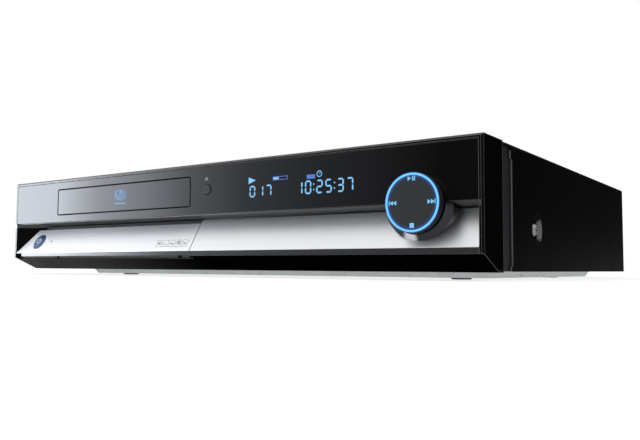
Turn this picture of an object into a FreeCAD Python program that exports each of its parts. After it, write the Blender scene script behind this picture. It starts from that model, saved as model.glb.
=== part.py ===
import FreeCAD, Part
import math
import os
from FreeCAD import Vector

# A disc player: a low steel cabinet with a gloss black front, a sloping aluminium trim below it,
# a drawer for the disc, a flap over the card slots and a round four-way control.
# Sizes are in millimetres. X runs to the right from the middle, Z up from the ground.
# While the pieces are made, Y is 0 at the seam behind the front frame and grows to the back.

# Cabinet
cabinet_width = 430.0
cabinet_height = 78.0
cover_depth = 296.0
cover_sheet = 1.0
cover_lift = 5.0
cover_bend = 1.8
seat_gap = 0.3

# Dished seats of the cover's side screws
dish_y = 58.0
dish_z = 30.8
dish_radius = 9.2
dish_floor_radius = 6.5
dish_depth = 2.0
side_screw_head_radius = 4.0
side_screw_head_height = 1.7
side_screw_radius = 1.5
side_screw_length = 5.0
screw_fit = 0.05
cross_half_width = 0.5
cross_depth = 1.0
side_cross_reach = 2.2

# Vent slots in the cover's top, over the power board
vent_count = 12
vent_width = 2.4
vent_margin = 2.5
vent_pitch = 6.0
vent_rows = 2
vent_first_y = 176.0

# Side strips between the front frame and the cover
strip_width = 13.0
strip_step = 2.0
strip_step_below_top = 8.6
strip_step_bottom = 8.0
strip_sheet = 1.0
strip_inset = 1.3
strip_overlap = 5.0

# Chassis pan with its dropped middle
pan_sheet = 1.0
pan_drop = 3.9
pan_drop_beside_drive = 4.05
pan_drop_right_inset = 12.0
pan_drop_front = 10.0
pan_drop_back = 228.0
pan_drop_run = 3.0
pan_flange_top = 42.0
pan_slot_count = 10
pan_slot_width = 3.0
pan_slot_length = 26.0
pan_slot_pitch = 9.0
pan_slot_rows = (110.0, 150.0)
foot_radius = 6.5
foot_taper = 0.6
foot_left_inset = 83.0
foot_right_inset = 39.0
foot_front = 32.0
foot_back = 207.0

# Front frame
frame_depth = 28.0
frame_wall = 2.2
cheek_wall = 2.6
frame_edge_chamfer = 1.2
ceiling_angle = 8.0
slope_angle = 60.0
lip_top = 18.0
lip_bottom = 14.8
underside_end = -6.0
underside_low = 4.5
end_wall_angle = 34.0
end_wall_start = 3.3

# Fascia panel
panel_bottom = 42.7
panel_top_inset = 2.8
panel_left_inset = 3.5
panel_right_inset = 3.0
panel_sheet = 2.5
panel_edge = 0.35
window_margin = 1.5

# Aluminium trim and card door
trim_sheet = 1.5
trim_length = 24.8
trim_right_inset = 2.8
trim_seat = 0.05
split_x = 0.0
split_gap = 0.6
door_length = 22.5
door_lip_inset = 11.4
door_gap = 0.4
backing_wall = 1.6
backing_margin = 1.0
hinge_y = -25.0
hinge_z = 16.2
hinge_roll_radius = 2.9
hinge_groove_radius = 3.75
hinge_pin_radius = 0.6
hinge_pin_length = 13.0
hinge_fit = 0.05
hinge_ear_radius = 1.2
hinge_ear_width = 3.0
hinge_left_inset = 62.0
hinge_right_inset = 10.5
standby_beside_power = 17.0
standby_hole_radius = 0.8
standby_light_radius = 1.5

# Power button on the slope
power_inset = 29.3
power_along = 10.8
power_cap_radius = 4.9
power_ring_inner = 5.2
power_ring_outer = 6.3
power_hole_radius = 7.1
power_housing_radius = 7.1
power_housing_top = 4.5
power_housing_depth = 13.0
power_ring_depth = 8.0
power_ring_proud = 0.3
power_ring_fit = 0.05
power_cap_proud = 0.8
power_stem_radius = 1.5
power_housing_fit = 0.1

# Card bezel and reader
bezel_front = -12.4
bezel_sheet = 2.0
reader_left = -104.0
reader_right = -12.0
reader_low = 13.0
reader_high = 25.0
reader_depth = 46.0
large_slot_x = (-62.0, -18.0)
large_slot_height = 5.2
large_slot_depth = 32.0
small_slot_x = (-100.0, -74.0)
small_slot_height = 4.6
small_slot_depth = 22.0
slot_low = 16.2

# Tray door and its opening
tray_door_left_overhang = 4.65
tray_door_right_overhang = 6.35
tray_door_low = 48.8
tray_door_below_top = 6.2
tray_door_sheet = 3.0
tray_door_gap = 0.7
tray_door_corner = 1.2

# Open and close button
open_beside_door = 16.7
open_below_door_top = 9.6
open_radius = 3.55
open_gap = 0.3
open_proud = 0.7
open_flange = 5.0
open_stem_radius = 1.4
switch_size = 6.0
switch_height = 3.5
switch_gap = 0.9

# Round four-way control
control_inset = 38.6
control_z = 42.4
control_radius = 16.6
control_thickness = 5.0
control_gap = 1.0
control_wall = 1.6
control_rim = 0.4
control_ring_width = 1.1
control_ring_depth = 1.6
control_ring_proud = 0.2
control_hub_radius = 6.6
control_tail_radius = 9.0
control_tail_thickness = 1.5
control_pivot_y = -22.0
housing_radius = 13.5
housing_wall = 1.9
housing_floor = 2.0
housing_front = -27.9
housing_back = -11.5
gimbal_outer = 10.2
gimbal_inner = 7.6
gimbal_thickness = 4.0
gimbal_pin_radius = 1.2
gimbal_pin_fit = 0.05
control_board_sheet = 1.3
dome_radius = 1.8
dome_height = 1.5
dome_ring = 7.0
skirt_top_radius = 17.4
skirt_radius = 21.0
skirt_flare = 2.5
skirt_depth = 12.0
skirt_foot = 8.0

# Front board and display
board_sheet = 1.5
front_board_beside_open = 6.7
front_board_right_inset = 9.0
front_board_low = 46.5
front_board_y = -13.5
display_left = 46.0
display_beside_control = 30.4
display_above_panel_bottom = 7.3
display_below_panel_top = 5.2
display_depth = 9.3

# Disc drive
drive_x = -77.35
disc_y = 48.0
tray_half_width = 71.0
tray_low = 53.5
tray_high = 62.5
tray_back = 180.0
disc_recess_radius = 60.8
disc_recess_floor = 57.5
small_recess_radius = 41.0
small_recess_depth = 1.2
tray_slot_half_width = 23.0
tray_slot_front = 17.0
loader_front = 2.0
loader_back = 190.0
loader_low = 26.0
loader_high = 66.0
loader_wall = 2.5
loader_side_gap = 0.6
ledge_reach = 3.6
ledge_sheet = 2.8
deck_low = 38.0
deck_sheet = 2.0
deck_depth = 30.0
deck_front_below = 8.0
deck_front_above = 3.0
tab_places = (4.0, 84.0)
tab_length = 14.0
tab_sheet = 2.0
bridge_sheet = 1.2
bridge_half_depth = 13.0
clamper_radius = 10.8
clamper_flange = 14.0
clamper_flange_sheet = 1.3
clamper_low = 62.9
clamper_hole_gap = 0.7
clamper_dish_depth = 2.0
clamper_dish_gap = 0.6

# Loading gears
pressure_angle = 25.0
tooth_height = 0.8
tooth_foot = 1.05
tooth_backlash = 0.16
rack_module = 1.0
pinion_teeth = 16
gear_module = 0.8
large_gear_teeth = 40
small_gear_teeth = 12
gear_inset = 19.0
gear_y = 16.0
gear_post_radius = 1.5
gear_fit = 0.05
rack_height = 4.0
rack_body = 5.0
rack_front = 4.0
rack_back = 164.0
pulley_height = 3.0
pulley_lift = 0.4
pulley_groove_radius = 8.0
motor_groove_radius = 2.6
pulley_rim = 1.2
pulley_rim_sheet = 0.6
belt_height = 1.2
belt_thickness = 1.4
belt_gap = 0.3
belt_floor = 0.3
motor_x = -8.0
motor_hole_radius = 4.0
loading_motor_radius = 9.0
loading_motor_height = 12.0
loading_motor_flat = 7.5
motor_shaft_depth = 5.0
motor_shaft_radius = 1.0
gear_low = 44.0
gear_height = 3.0
gear_hub_radius = 4.0
pinion_top = 53.0

# Traverse with the optics
traverse_half_width = 48.0
traverse_front = 33.5
traverse_back = 172.0
traverse_low = 38.0
traverse_sheet = 2.5
traverse_pivot_y = 168.0
traverse_arm_depth = 12.0
trunnion_radius = 2.0
trunnion_fit = 0.06
spindle_radius = 13.0
spindle_height = 11.2
spindle_step = 2.0
spindle_bore_low = 4.0
turntable_radius = 14.5
turntable_sheet = 2.8
disc_seat_lift = 1.2
turntable_boss_radius = 7.4
turntable_boss_height = 2.5
turntable_boss_taper = 1.2
turntable_hub_radius = 5.0
rail_radius = 1.5
rail_fit = 0.05
rail_x = 25.0
rail_z = 46.0
rail_front = 58.0
rail_back = 134.0
rail_post_depth = 2.5
rail_post_half_width = 3.5
rail_post_height = 8.5
bearing_inset = 0.5
bearing_depth = 3.0
sled_half_width = 21.0
sled_front = 62.5
sled_length = 28.5
sled_low = 42.8
sled_high = 52.6
sled_ear = 7.0
sled_ear_half_height = 2.5
sled_arm_start = 8.0
sled_arm_length = 10.0
sled_arm_half_height = 1.5
lens_offset = 8.5
lens_radius = 4.0
lens_height = 3.2
lens_rim = 1.5
lens_seat = 0.6
lens_shoulder = 1.8
lens_crown_radius = 1.6
screw_x = 33.5
screw_radius = 2.0
screw_pitch = 3.0
screw_groove = 0.5
screw_front = 61.5
screw_back = 136.7
sled_motor_radius = 5.0
sled_motor_length = 20.0
saddle_half_width = 3.0
saddle_inset = 2.0

# Drive mounts
mount_radius = 4.0
mount_behind_reader = 2.4
mount_back = 176.0

# Boards
main_board_left = 14.0
main_board_right_inset = 9.0
main_board_front = 62.0
main_board_back_inset = 4.0
main_board_low = 12.0
standoff_radius = 3.5
standoff_inset = 8.0
standoff_back_inset = 26.0
power_board_left_inset = 7.0
power_board_beside_drive = 5.55
power_board_front = 34.0
power_board_back_inset = 24.0
power_board_low = 14.0
sink_left_inset = 64.0
sink_front_inset = 56.0
sink_side = 64.0
sink_base = 4.0
sink_height = 24.0
sink_fin = 1.6
sink_pitch = 6.2
transformer_left_inset = 4.0
transformer_right_inset = 7.0
transformer_y = (120.0, 158.0)
transformer_height = 32.0
bobbin_inset = 5.0
capacitor_radius = 9.0
capacitor_height = 26.0
capacitor_front_places = (64.0, 88.0)
capacitor_back_inset = 30.0
power_sink_inset = 6.0
power_sink_sheet = 3.0
power_sink_places = (50.0, 176.0)
power_sink_length = 44.0
power_sink_height = 26.0
cable_sheet = 0.4
cable_width = 22.0
front_cable_x = 60.0
front_cable_z = 52.0
front_cable_bend = 44.0
front_cable_end = 70.0
drive_cable_y = 110.0
drive_cable_z = 34.0
drive_cable_end = 26.0

# Packages on the main board: inset from the board's side and front, width, length and height
left_packages = (
    (22.0, 48.0, 24.0, 24.0, 2.5),
    (26.0, 98.0, 14.0, 14.0, 2.0),
    (84.0, 152.0, 28.0, 12.0, 2.0),
)
right_packages = ((20.0, 34.0, 26.0, 20.0, 2.5), (30.0, 128.0, 16.0, 16.0, 2.0))

# Rear panel and what passes through it
rear_panel_inset = 2.0
rear_panel_sheet = 1.0
rear_panel_top_inset = 1.3
cutout_gap = 0.3
fan_x = -25.0
fan_size = 60.0
fan_depth = 15.0
fan_bore = 28.5
fan_hub_radius = 11.0
fan_blade_count = 7
fan_blade_reach = 27.5
fan_blade_sheet = 1.4
fan_blade_pitch = 35.0
fan_pin_radius = 2.0
fan_pin_fit = 0.06
fan_pin_length = 12.0
fan_strut = 3.0
fan_plate = 2.0
fan_foot = 20.0
fan_foot_depth = 6.0
grille_slot = 4.0
grille_pitch = 6.5
grille_radius = 27.0
inlet_inset = 31.0
inlet_z = 30.0
inlet_width = 28.0
inlet_height = 18.0
inlet_depth = 22.0
inlet_proud = 1.5
inlet_socket_width = 17.0
inlet_socket_height = 9.0
inlet_socket_depth = 13.0
inlet_pin_radius = 1.2
inlet_pin_spacing = 8.6
video_jack_inset = 20.0
video_jack_width = 15.4
video_jack_height = 6.4
video_jack_length = 14.0
video_jack_proud = 1.0
video_jack_sheet = 0.4
video_jack_lift = 1.2
video_tongue_width = 10.0
video_tongue_sheet = 0.9
video_tongue_below = 1.8
phono_columns = 5
phono_rows = 2
phono_beside_digital = 38.0
phono_pitch_x = 18.0
phono_pitch_z = 17.0
phono_first_z = 24.0
phono_radius = 4.4
phono_bore = 1.6
phono_body = 12.0
phono_reach = 8.0
phono_body_depth = 14.0
digital_beside_video = 32.0
digital_size = 10.0
digital_pitch = 14.0
digital_proud = 2.0
digital_depth = 16.0
rear_screw_inset = 10.0
rear_screw_middle_places = (-75.0, 60.0)
rear_screw_below_top = 6.0
rear_screw_head = 3.4
rear_screw_radius = 1.5
rear_screw_height = 2.0
rear_screw_reach = 5.0
rear_cross_reach = 1.8

# Places that follow from the sizes above
half_width = cabinet_width / 2
frame_front = -frame_depth
slope_run = math.cos(math.radians(slope_angle))
slope_rise = math.sin(math.radians(slope_angle))
pan_low = cover_lift
pan_floor = pan_low + pan_sheet
drop_low = pan_low - pan_drop
drop_floor = drop_low + pan_sheet
cover_inside = half_width - cover_sheet
rear_panel_y = cover_depth - rear_panel_inset
rear_panel_top = cabinet_height - rear_panel_top_inset
strip_step_top = cabinet_height - strip_step_below_top
foot_left = -half_width + foot_left_inset
foot_right = half_width - foot_right_inset
panel_top = cabinet_height - panel_top_inset
panel_left = -half_width + panel_left_inset
panel_right = half_width - panel_right_inset
trim_right = half_width - trim_right_inset
door_lip_left = -half_width + door_lip_inset
hinge_places = (-half_width + hinge_left_inset, split_x - hinge_right_inset)
power_x = -half_width + power_inset
standby_hole_x = power_x + standby_beside_power
bezel_back = bezel_front + bezel_sheet
tray_door_left = drive_x - tray_half_width - tray_door_left_overhang
tray_door_right = drive_x + tray_half_width + tray_door_right_overhang
tray_door_high = panel_top - tray_door_below_top
open_x = tray_door_right + open_beside_door
open_z = tray_door_high - open_below_door_top
front_board_left = open_x - front_board_beside_open
control_x = half_width - control_inset
control_ring_outer = control_radius - control_rim
control_ring_inner = control_ring_outer - control_ring_width
front_board_right = half_width - front_board_right_inset
display_right = control_x - display_beside_control
display_low = panel_bottom + display_above_panel_bottom
display_high = panel_top - display_below_panel_top
control_cap_back = frame_front - control_gap
control_cap_front = control_cap_back - control_thickness
control_front = control_cap_front - control_ring_proud
rear_reach = rear_panel_y + rear_panel_sheet + phono_reach
middle_y = (control_front + rear_reach) / 2
loader_inner = tray_half_width + loader_side_gap
loader_outer = loader_inner + loader_wall
pan_drop_left = drive_x - loader_outer - pan_drop_beside_drive
pan_drop_right = half_width - pan_drop_right_inset
mount_x = loader_outer - mount_radius
mount_front = bezel_back + reader_depth + mount_radius + mount_behind_reader
deck_top = deck_low + deck_sheet
traverse_top = traverse_low + traverse_sheet
traverse_pivot_z = traverse_low + traverse_sheet / 2
rack_low = tray_low - rack_height
gear_x = tray_half_width - gear_inset
rack_pitch_x = drive_x + gear_x + rack_module * pinion_teeth / 2
gear_spacing = gear_module * (large_gear_teeth + small_gear_teeth) / 2
pulley_x = drive_x + gear_x - gear_spacing
belt_low = deck_top + pulley_lift + pulley_rim_sheet + belt_floor
disc_seat = disc_recess_floor + disc_seat_lift
main_board_right = half_width - main_board_right_inset
main_board_back = rear_panel_y - main_board_back_inset
sink_x = (main_board_left + sink_left_inset, main_board_left + sink_left_inset + sink_side)
sink_y = (main_board_front + sink_front_inset, main_board_front + sink_front_inset + sink_side)
power_board_left = -half_width + power_board_left_inset
power_board_right = drive_x - loader_outer - power_board_beside_drive
power_board_back = rear_panel_y - power_board_back_inset
transformer_x = (power_board_left + transformer_left_inset, power_board_right - transformer_right_inset)
power_sink_x = power_board_right - power_sink_inset
capacitor_x = (power_board_left + power_sink_x) / 2
capacitor_places = capacitor_front_places + (power_board_back - capacitor_back_inset,)
vent_spare = power_board_right - power_board_left - 2 * vent_margin - (vent_rows - 1) * vent_pitch
vent_length = vent_spare / vent_rows
fan_z = (pan_floor + cabinet_height - cover_sheet) / 2
inlet_x = -half_width + inlet_inset
video_jack_x = main_board_left + video_jack_inset
digital_x = video_jack_x + digital_beside_video
phono_first_x = digital_x + phono_beside_digital
rear_screw_end = half_width - rear_screw_inset
rear_screw_places = (-rear_screw_end,) + rear_screw_middle_places + (rear_screw_end,)
rear_screw_z = cabinet_height - rear_screw_below_top

AXES = {"x": Vector(1, 0, 0), "y": Vector(0, 1, 0), "z": Vector(0, 0, 1)}


def box(x, y, z):
    """Block between two X, two Y and two Z values."""
    return Part.makeBox(x[1] - x[0], y[1] - y[0], z[1] - z[0], Vector(x[0], y[0], z[0]))


def rod(radius, start, length, axis):
    """Cylinder of that radius from a start point along an axis."""
    return Part.makeCylinder(radius, length, Vector(*start), AXES[axis])


def ring(outer, inner, start, length, axis):
    """Tube of those radii from a start point along an axis."""
    return rod(outer, start, length, axis).cut(rod(inner, start, length, axis))


def face_of(points):
    """Flat face with straight edges through the points."""
    corners = [Vector(*p) for p in points]
    return Part.Face(Part.makePolygon(corners + corners[:1]))


def prism_x(points, x):
    """Solid with an outline of (y, z) points between two X values."""
    return face_of([(x[0], p[0], p[1]) for p in points]).extrude(Vector(x[1] - x[0], 0, 0))


def prism_y(points, y):
    """Solid with an outline of (x, z) points between two Y values."""
    return face_of([(p[0], y[0], p[1]) for p in points]).extrude(Vector(0, y[1] - y[0], 0))


def prism_z(points, z):
    """Solid with an outline of (x, y) points between two Z values."""
    return face_of([(p[0], p[1], z[0]) for p in points]).extrude(Vector(0, 0, z[1] - z[0]))


def lathe_z(profile, x, y):
    """Solid turned about a vertical axis from (radius, z) points."""
    return face_of([(x + r, y, z) for r, z in profile]).revolve(Vector(x, y, 0), AXES["z"], 360)


def lathe_y(profile, x, z):
    """Solid turned about an axis along Y from (radius, y) points."""
    return face_of([(x + r, y, z) for r, y in profile]).revolve(Vector(x, 0, z), AXES["y"], 360)


def fused(shapes):
    """One solid from overlapping or touching shapes."""
    result = shapes[0]
    for shape in shapes[1:]:
        result = result.fuse(shape)
    return result.removeSplitter()


def frustum(x, y, z_low, z_high, run):
    """Block whose lower outline lies inside its upper one by run on each side."""
    low = [
        (x[0] + run, y[0] + run),
        (x[1] - run, y[0] + run),
        (x[1] - run, y[1] - run),
        (x[0] + run, y[1] - run),
    ]
    high = [(x[0], y[0]), (x[1], y[0]), (x[1], y[1]), (x[0], y[1])]
    wires = []
    for corners, z in ((low, z_low), (high, z_high)):
        points = [Vector(a, b, z) for a, b in corners]
        wires.append(Part.makePolygon(points + points[:1]))
    return Part.makeLoft(wires, True, True)


def slope_point(along, inward=0.0):
    """(y, z) on the sloping trim's face: along it from the lip, and inward from it."""
    y = frame_front + along * slope_run + inward * slope_rise
    z = lip_top + along * slope_rise - inward * slope_run
    return (y, z)


def on_slope(shape):
    """Sets a shape made flat, with Y up the slope and Z out of it, on the sloping face."""
    shape.rotate(Vector(0, 0, 0), AXES["x"], slope_angle)
    shape.translate(Vector(0, frame_front, lip_top))
    return shape


def ceiling_z(y):
    """Height of the recess's ceiling at that depth."""
    return panel_bottom - (y - frame_front) * math.tan(math.radians(ceiling_angle))


def underside_z(y):
    """Height of the front frame's sloping underside at that depth."""
    share = (y - frame_front) / (underside_end - frame_front)
    return nose_z + (underside_low - nose_z) * share


def meet(point_a, angle_a, point_b, angle_b):
    """Where two lines in the (y, z) plane cross, each given by a point and an angle."""
    ca, sa = math.cos(math.radians(angle_a)), math.sin(math.radians(angle_a))
    cb, sb = math.cos(math.radians(angle_b)), math.sin(math.radians(angle_b))
    dy, dz = point_b[0] - point_a[0], point_b[1] - point_a[1]
    along = (dy * sb - dz * cb) / (ca * sb - sa * cb)
    return (point_a[0] + along * ca, point_a[1] + along * sa)


nose_z = lip_bottom - seat_gap
underside_angle = math.degrees(math.atan2(underside_low - nose_z, underside_end - frame_front))
underside_rise = frame_wall / math.cos(math.radians(underside_angle))
pocket_back = frame_front + panel_sheet + 0.1


def frame_outline():
    """Outline of the front frame's section, behind the trim."""
    seat = slope_point(0.0, trim_sheet + trim_seat)
    ceiling_end = meet((frame_front, panel_bottom), -ceiling_angle, seat, slope_angle)
    lip_back = frame_front + trim_sheet + trim_seat
    slope_foot = meet(seat, slope_angle, (lip_back, lip_top), 90.0)
    return [
        (0.0, cabinet_height),
        (frame_front, cabinet_height),
        (frame_front, panel_bottom),
        ceiling_end,
        slope_foot,
        (lip_back, nose_z),
        (frame_front, nose_z),
        (underside_end, underside_low),
        (0.0, underside_low),
    ]


def frame_hollow():
    """Outline of the space inside the front frame, open at the back."""
    top = (0.0, cabinet_height - frame_wall)
    front = (pocket_back + frame_wall, 0.0)
    ceiling_lift = frame_wall / math.cos(math.radians(ceiling_angle))
    ceiling = (frame_front, panel_bottom + ceiling_lift)
    slope = slope_point(0.0, trim_sheet + trim_seat + frame_wall)
    under = (frame_front, nose_z + underside_rise)
    floor = (0.0, underside_low + frame_wall)
    behind = (frame_wall, 0.0)
    return [
        meet(behind, 90.0, top, 0.0),
        meet(top, 0.0, front, 90.0),
        meet(front, 90.0, ceiling, -ceiling_angle),
        meet(ceiling, -ceiling_angle, slope, slope_angle),
        meet(slope, slope_angle, under, underside_angle),
        meet(under, underside_angle, floor, 0.0),
        meet(floor, 0.0, behind, 90.0),
    ]


def silhouette():
    """Outline of the whole front as seen from the side, with the recess filled."""
    return [
        (0.0, cabinet_height),
        (frame_front, cabinet_height),
        (frame_front, nose_z),
        (underside_end, underside_low),
        (0.0, underside_low),
    ]


def end_wall(clearance):
    """Wedge that closes the recess's left end with a wall across the corner."""
    start = -half_width + end_wall_start + clearance / math.sin(math.radians(end_wall_angle))
    depth = bezel_front - frame_front
    reach = depth / math.tan(math.radians(end_wall_angle))
    outline = [
        (-half_width + cheek_wall / 2, frame_front),
        (start, frame_front),
        (start + reach, bezel_front),
        (-half_width + cheek_wall / 2, bezel_front),
    ]
    return prism_z(outline, (nose_z, panel_bottom + frame_wall / 2))


def door_space():
    """What the front frame leaves open behind the card door."""
    outline = [
        (frame_front - 1.0, ceiling_z(frame_front - 1.0)),
        (bezel_back, ceiling_z(bezel_back)),
        (bezel_back, underside_z(bezel_back) + underside_rise),
        (frame_front - 1.0, underside_z(frame_front - 1.0) + underside_rise),
    ]
    return prism_x(outline, (-half_width + cheek_wall, split_x))


def hinge_ears():
    """Ears that stand on the frame's floor and hold the card door's hinge pins."""
    foot_front_y = hinge_y + hinge_groove_radius + 0.6
    foot_back_y = foot_front_y + 6.0
    ears = []
    for middle in hinge_places:
        x = (middle - hinge_ear_width / 2, middle + hinge_ear_width / 2)
        outline = [
            (hinge_y, hinge_z - hinge_pin_radius),
            (foot_front_y, hinge_z - hinge_pin_radius),
            (foot_front_y, underside_z(foot_front_y) + underside_rise / 2),
            (foot_back_y, underside_z(foot_back_y) + underside_rise / 2),
            (foot_back_y, hinge_z),
            (hinge_y, hinge_z + hinge_ear_radius),
        ]
        ear = prism_x(outline, x)
        ear = ear.fuse(rod(hinge_ear_radius, (x[0], hinge_y, hinge_z), hinge_ear_width, "x"))
        bore = rod(hinge_pin_radius + hinge_fit, (x[0] - 1, hinge_y, hinge_z), hinge_ear_width + 2, "x")
        ears.append(ear.cut(bore))
    return ears


def front_frame():
    """Gloss black moulding that carries everything on the front."""
    full = (-half_width, half_width)
    inner = (-half_width + cheek_wall, half_width - cheek_wall)
    body = prism_x(frame_outline(), full).cut(prism_x(frame_hollow(), inner))
    recess_cheeks = [
        prism_x(silhouette(), (-half_width, -half_width + cheek_wall)),
        prism_x(silhouette(), (half_width - cheek_wall, half_width)),
    ]
    body = fused([body] + recess_cheeks)
    hollow_cheeks = prism_x(frame_hollow(), inner)
    pocket = box(
        (panel_left - panel_edge, panel_right + panel_edge),
        (frame_front - 1, pocket_back),
        (panel_bottom - 1, panel_top + panel_edge),
    )
    tray_window = box(
        (tray_door_left - window_margin, tray_door_right + window_margin),
        (pocket_back - 1, pocket_back + frame_wall + 1),
        (tray_door_low - window_margin, tray_door_high + window_margin),
    )
    board_window = box(
        (front_board_left - 2, front_board_right),
        (pocket_back - 1, pocket_back + frame_wall + 1),
        (front_board_low, panel_top - 2.5),
    )
    groove_x = (-half_width + cheek_wall, split_x)
    groove = rod(hinge_groove_radius, (groove_x[0], hinge_y, hinge_z), groove_x[1] - groove_x[0], "x")
    lip_space = box(
        groove_x,
        (frame_front - 1, hinge_y),
        (nose_z - 2.5, lip_top),
    )
    control_hole = rod(
        housing_radius + seat_gap, (control_x, frame_front - 1, control_z), frame_depth, "y"
    )
    body = body.cut(door_space())
    housing_space = rod(
        power_housing_radius + seat_gap,
        (power_x, power_along, -power_housing_depth - 4),
        power_housing_depth + 4 - trim_sheet - backing_wall,
        "z",
    )
    body = fused([body, end_wall(0.0).cut(on_slope(housing_space)), split_rib()])
    body = body.cut(Part.makeCompound([pocket, tray_window, board_window]))
    body = body.cut(groove).cut(lip_space).cut(control_hole)
    body = fused([body] + hinge_ears())
    return edge_chamfered(body.cut(hollow_cheeks.common(box(full, (-1, 9), (0, cabinet_height)))))


def split_rib():
    """Rib that closes the card space at the split of the trim."""
    rib = prism_x(silhouette(), (split_x, split_x + frame_wall))
    below_ceiling = prism_x(
        [
            slope_point(trim_length, trim_sheet + trim_seat),
            slope_point(0.0, trim_sheet + trim_seat),
            (frame_front + trim_sheet + trim_seat, nose_z),
            (underside_end, underside_low),
            (bezel_back, underside_low + 1),
            (bezel_back, ceiling_z(bezel_front)),
        ],
        (split_x, split_x + frame_wall),
    )
    return rib.common(below_ceiling)


def edge_chamfered(body):
    """Breaks the outer upright edges of the front's corners."""
    size = frame_edge_chamfer
    for side in (-1, 1):
        corner = prism_z(
            [
                (side * half_width, frame_front),
                (side * (half_width - size), frame_front),
                (side * half_width, frame_front + size),
            ],
            (0.0, cabinet_height + 1),
        )
        body = body.cut(corner)
    top_edge = prism_x(
        [
            (frame_front, cabinet_height),
            (frame_front + size, cabinet_height),
            (frame_front, cabinet_height - size),
        ],
        (-half_width, half_width),
    )
    return body.cut(top_edge)


def fascia_panel():
    """Upper gloss sheet with the openings for tray door, button and control."""
    back = frame_front + panel_sheet
    sheet = box((panel_left, panel_right), (frame_front, back), (panel_bottom, panel_top))
    mouth = rounded_plate(tray_door_gap)
    button_hole = rod(open_radius + open_gap, (open_x, frame_front - 1, open_z), panel_sheet + 2, "y")
    hub_hole = rod(housing_radius + seat_gap, (control_x, frame_front - 1, control_z), panel_sheet + 2, "y")
    return sheet.cut(mouth).cut(button_hole).cut(hub_hole)


def rounded_plate(margin):
    """Tray door's plate, grown by a margin, with rounded upright corners."""
    x = (tray_door_left - margin, tray_door_right + margin)
    z = (tray_door_low - margin, tray_door_high + margin)
    plate = box(x, (frame_front, frame_front + tray_door_sheet), z)
    corners = [e for e in plate.Edges if abs(e.BoundBox.YLength - tray_door_sheet) < 0.01]
    return plate.makeFillet(tray_door_corner + margin, corners)


def trim_outline(length):
    """Section of the bent aluminium: a lip in front, and the slope above it."""
    bend = trim_sheet * (1 - slope_rise) / slope_run
    return [
        (frame_front, lip_bottom),
        (frame_front, lip_top),
        slope_point(length),
        slope_point(length, trim_sheet),
        slope_point(bend, trim_sheet),
        (frame_front + trim_sheet, lip_bottom),
    ]


def lower_trim():
    """Fixed aluminium trim, right of the split."""
    sheet = prism_x(trim_outline(trim_length), (split_x + split_gap / 2, trim_right))
    hub_hole = rod(housing_radius + seat_gap, (control_x, frame_front - 5, control_z), frame_depth, "y")
    return sheet.cut(hub_hole)


def slope_hole(x, radius, deep):
    """Cutter along the slope's normal at the power button's height."""
    return on_slope(rod(radius, (x, power_along, -deep), deep + 2.0, "z"))


def card_door():
    """Aluminium flap, left of the split, with holes for the power button and standby light."""
    x = (-half_width + cheek_wall, split_x - split_gap / 2)
    sheet = prism_x(trim_outline(door_length), x)
    sheet = sheet.cut(end_wall(door_gap))
    beside_lip = box(
        (-half_width, door_lip_left), (frame_front - 1, frame_front + trim_sheet + 1), (0, lip_top - 0.6)
    )
    sheet = sheet.cut(beside_lip)
    sheet = sheet.cut(slope_hole(power_x, power_hole_radius, trim_sheet + 2))
    return sheet.cut(slope_hole(standby_hole_x, standby_hole_radius, trim_sheet + 2))


def card_door_backing():
    """Moulding behind the flap, with the roll that its hinge pins sit in."""
    right = split_x - split_gap / 2 - backing_margin
    left = door_lip_left + backing_margin
    top = door_length - backing_margin
    plate = on_slope(box((left, right), (0.5, top), (-trim_sheet - backing_wall, -trim_sheet)))
    roll = rod(hinge_roll_radius, (left, hinge_y, hinge_z), right - left, "x")
    outside = prism_x(
        [
            (frame_front - trim_sheet, lip_bottom - 2 * trim_sheet),
            (frame_front - trim_sheet, lip_top + door_length),
            slope_point(door_length, trim_sheet),
            slope_point(trim_sheet * (1 - slope_rise) / slope_run, trim_sheet),
            (frame_front + trim_sheet, lip_bottom - 2 * trim_sheet),
        ],
        (left - 1, right + 1),
    )
    body = plate.fuse(roll).cut(outside)
    body = body.cut(end_wall(door_gap))
    ear_space = hinge_ear_width + 2 * door_gap
    for middle in hinge_places:
        slot = box(
            (middle - ear_space / 2, middle + ear_space / 2),
            (frame_front, hinge_y + hinge_roll_radius + 3),
            (lip_bottom - 3, hinge_z + hinge_ear_radius + 3),
        )
        body = body.cut(slot)
    for middle in hinge_places:
        start = (middle - hinge_pin_length / 2, hinge_y, hinge_z)
        body = body.cut(rod(hinge_pin_radius, start, hinge_pin_length, "x"))
    body = body.cut(slope_hole(power_x, power_hole_radius, trim_sheet + backing_wall + 2))
    body = body.cut(slope_hole(standby_hole_x, standby_hole_radius, trim_sheet + backing_wall + 2))
    return body.removeSplitter()


def card_door_pins():
    """Two hinge pins of the card door."""
    pins = []
    for middle in hinge_places:
        start = (middle - hinge_pin_length / 2, hinge_y, hinge_z)
        pins.append(rod(hinge_pin_radius, start, hinge_pin_length, "x"))
    return pins


def slot_space(x, height, depth):
    """Space for a card in the bezel and the reader."""
    return box(x, (bezel_front - 1, bezel_back + depth), (slot_low, slot_low + height))


def card_slots():
    """Both card spaces."""
    return [
        slot_space(large_slot_x, large_slot_height, large_slot_depth),
        slot_space(small_slot_x, small_slot_height, small_slot_depth),
    ]


def power_housing_body(radius):
    """Solid sleeve of that radius, square to the slope behind the power button."""
    start = (power_x, power_along, -power_housing_depth - housing_floor)
    return on_slope(rod(radius, start, power_housing_depth + housing_floor - power_housing_top, "z"))


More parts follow.
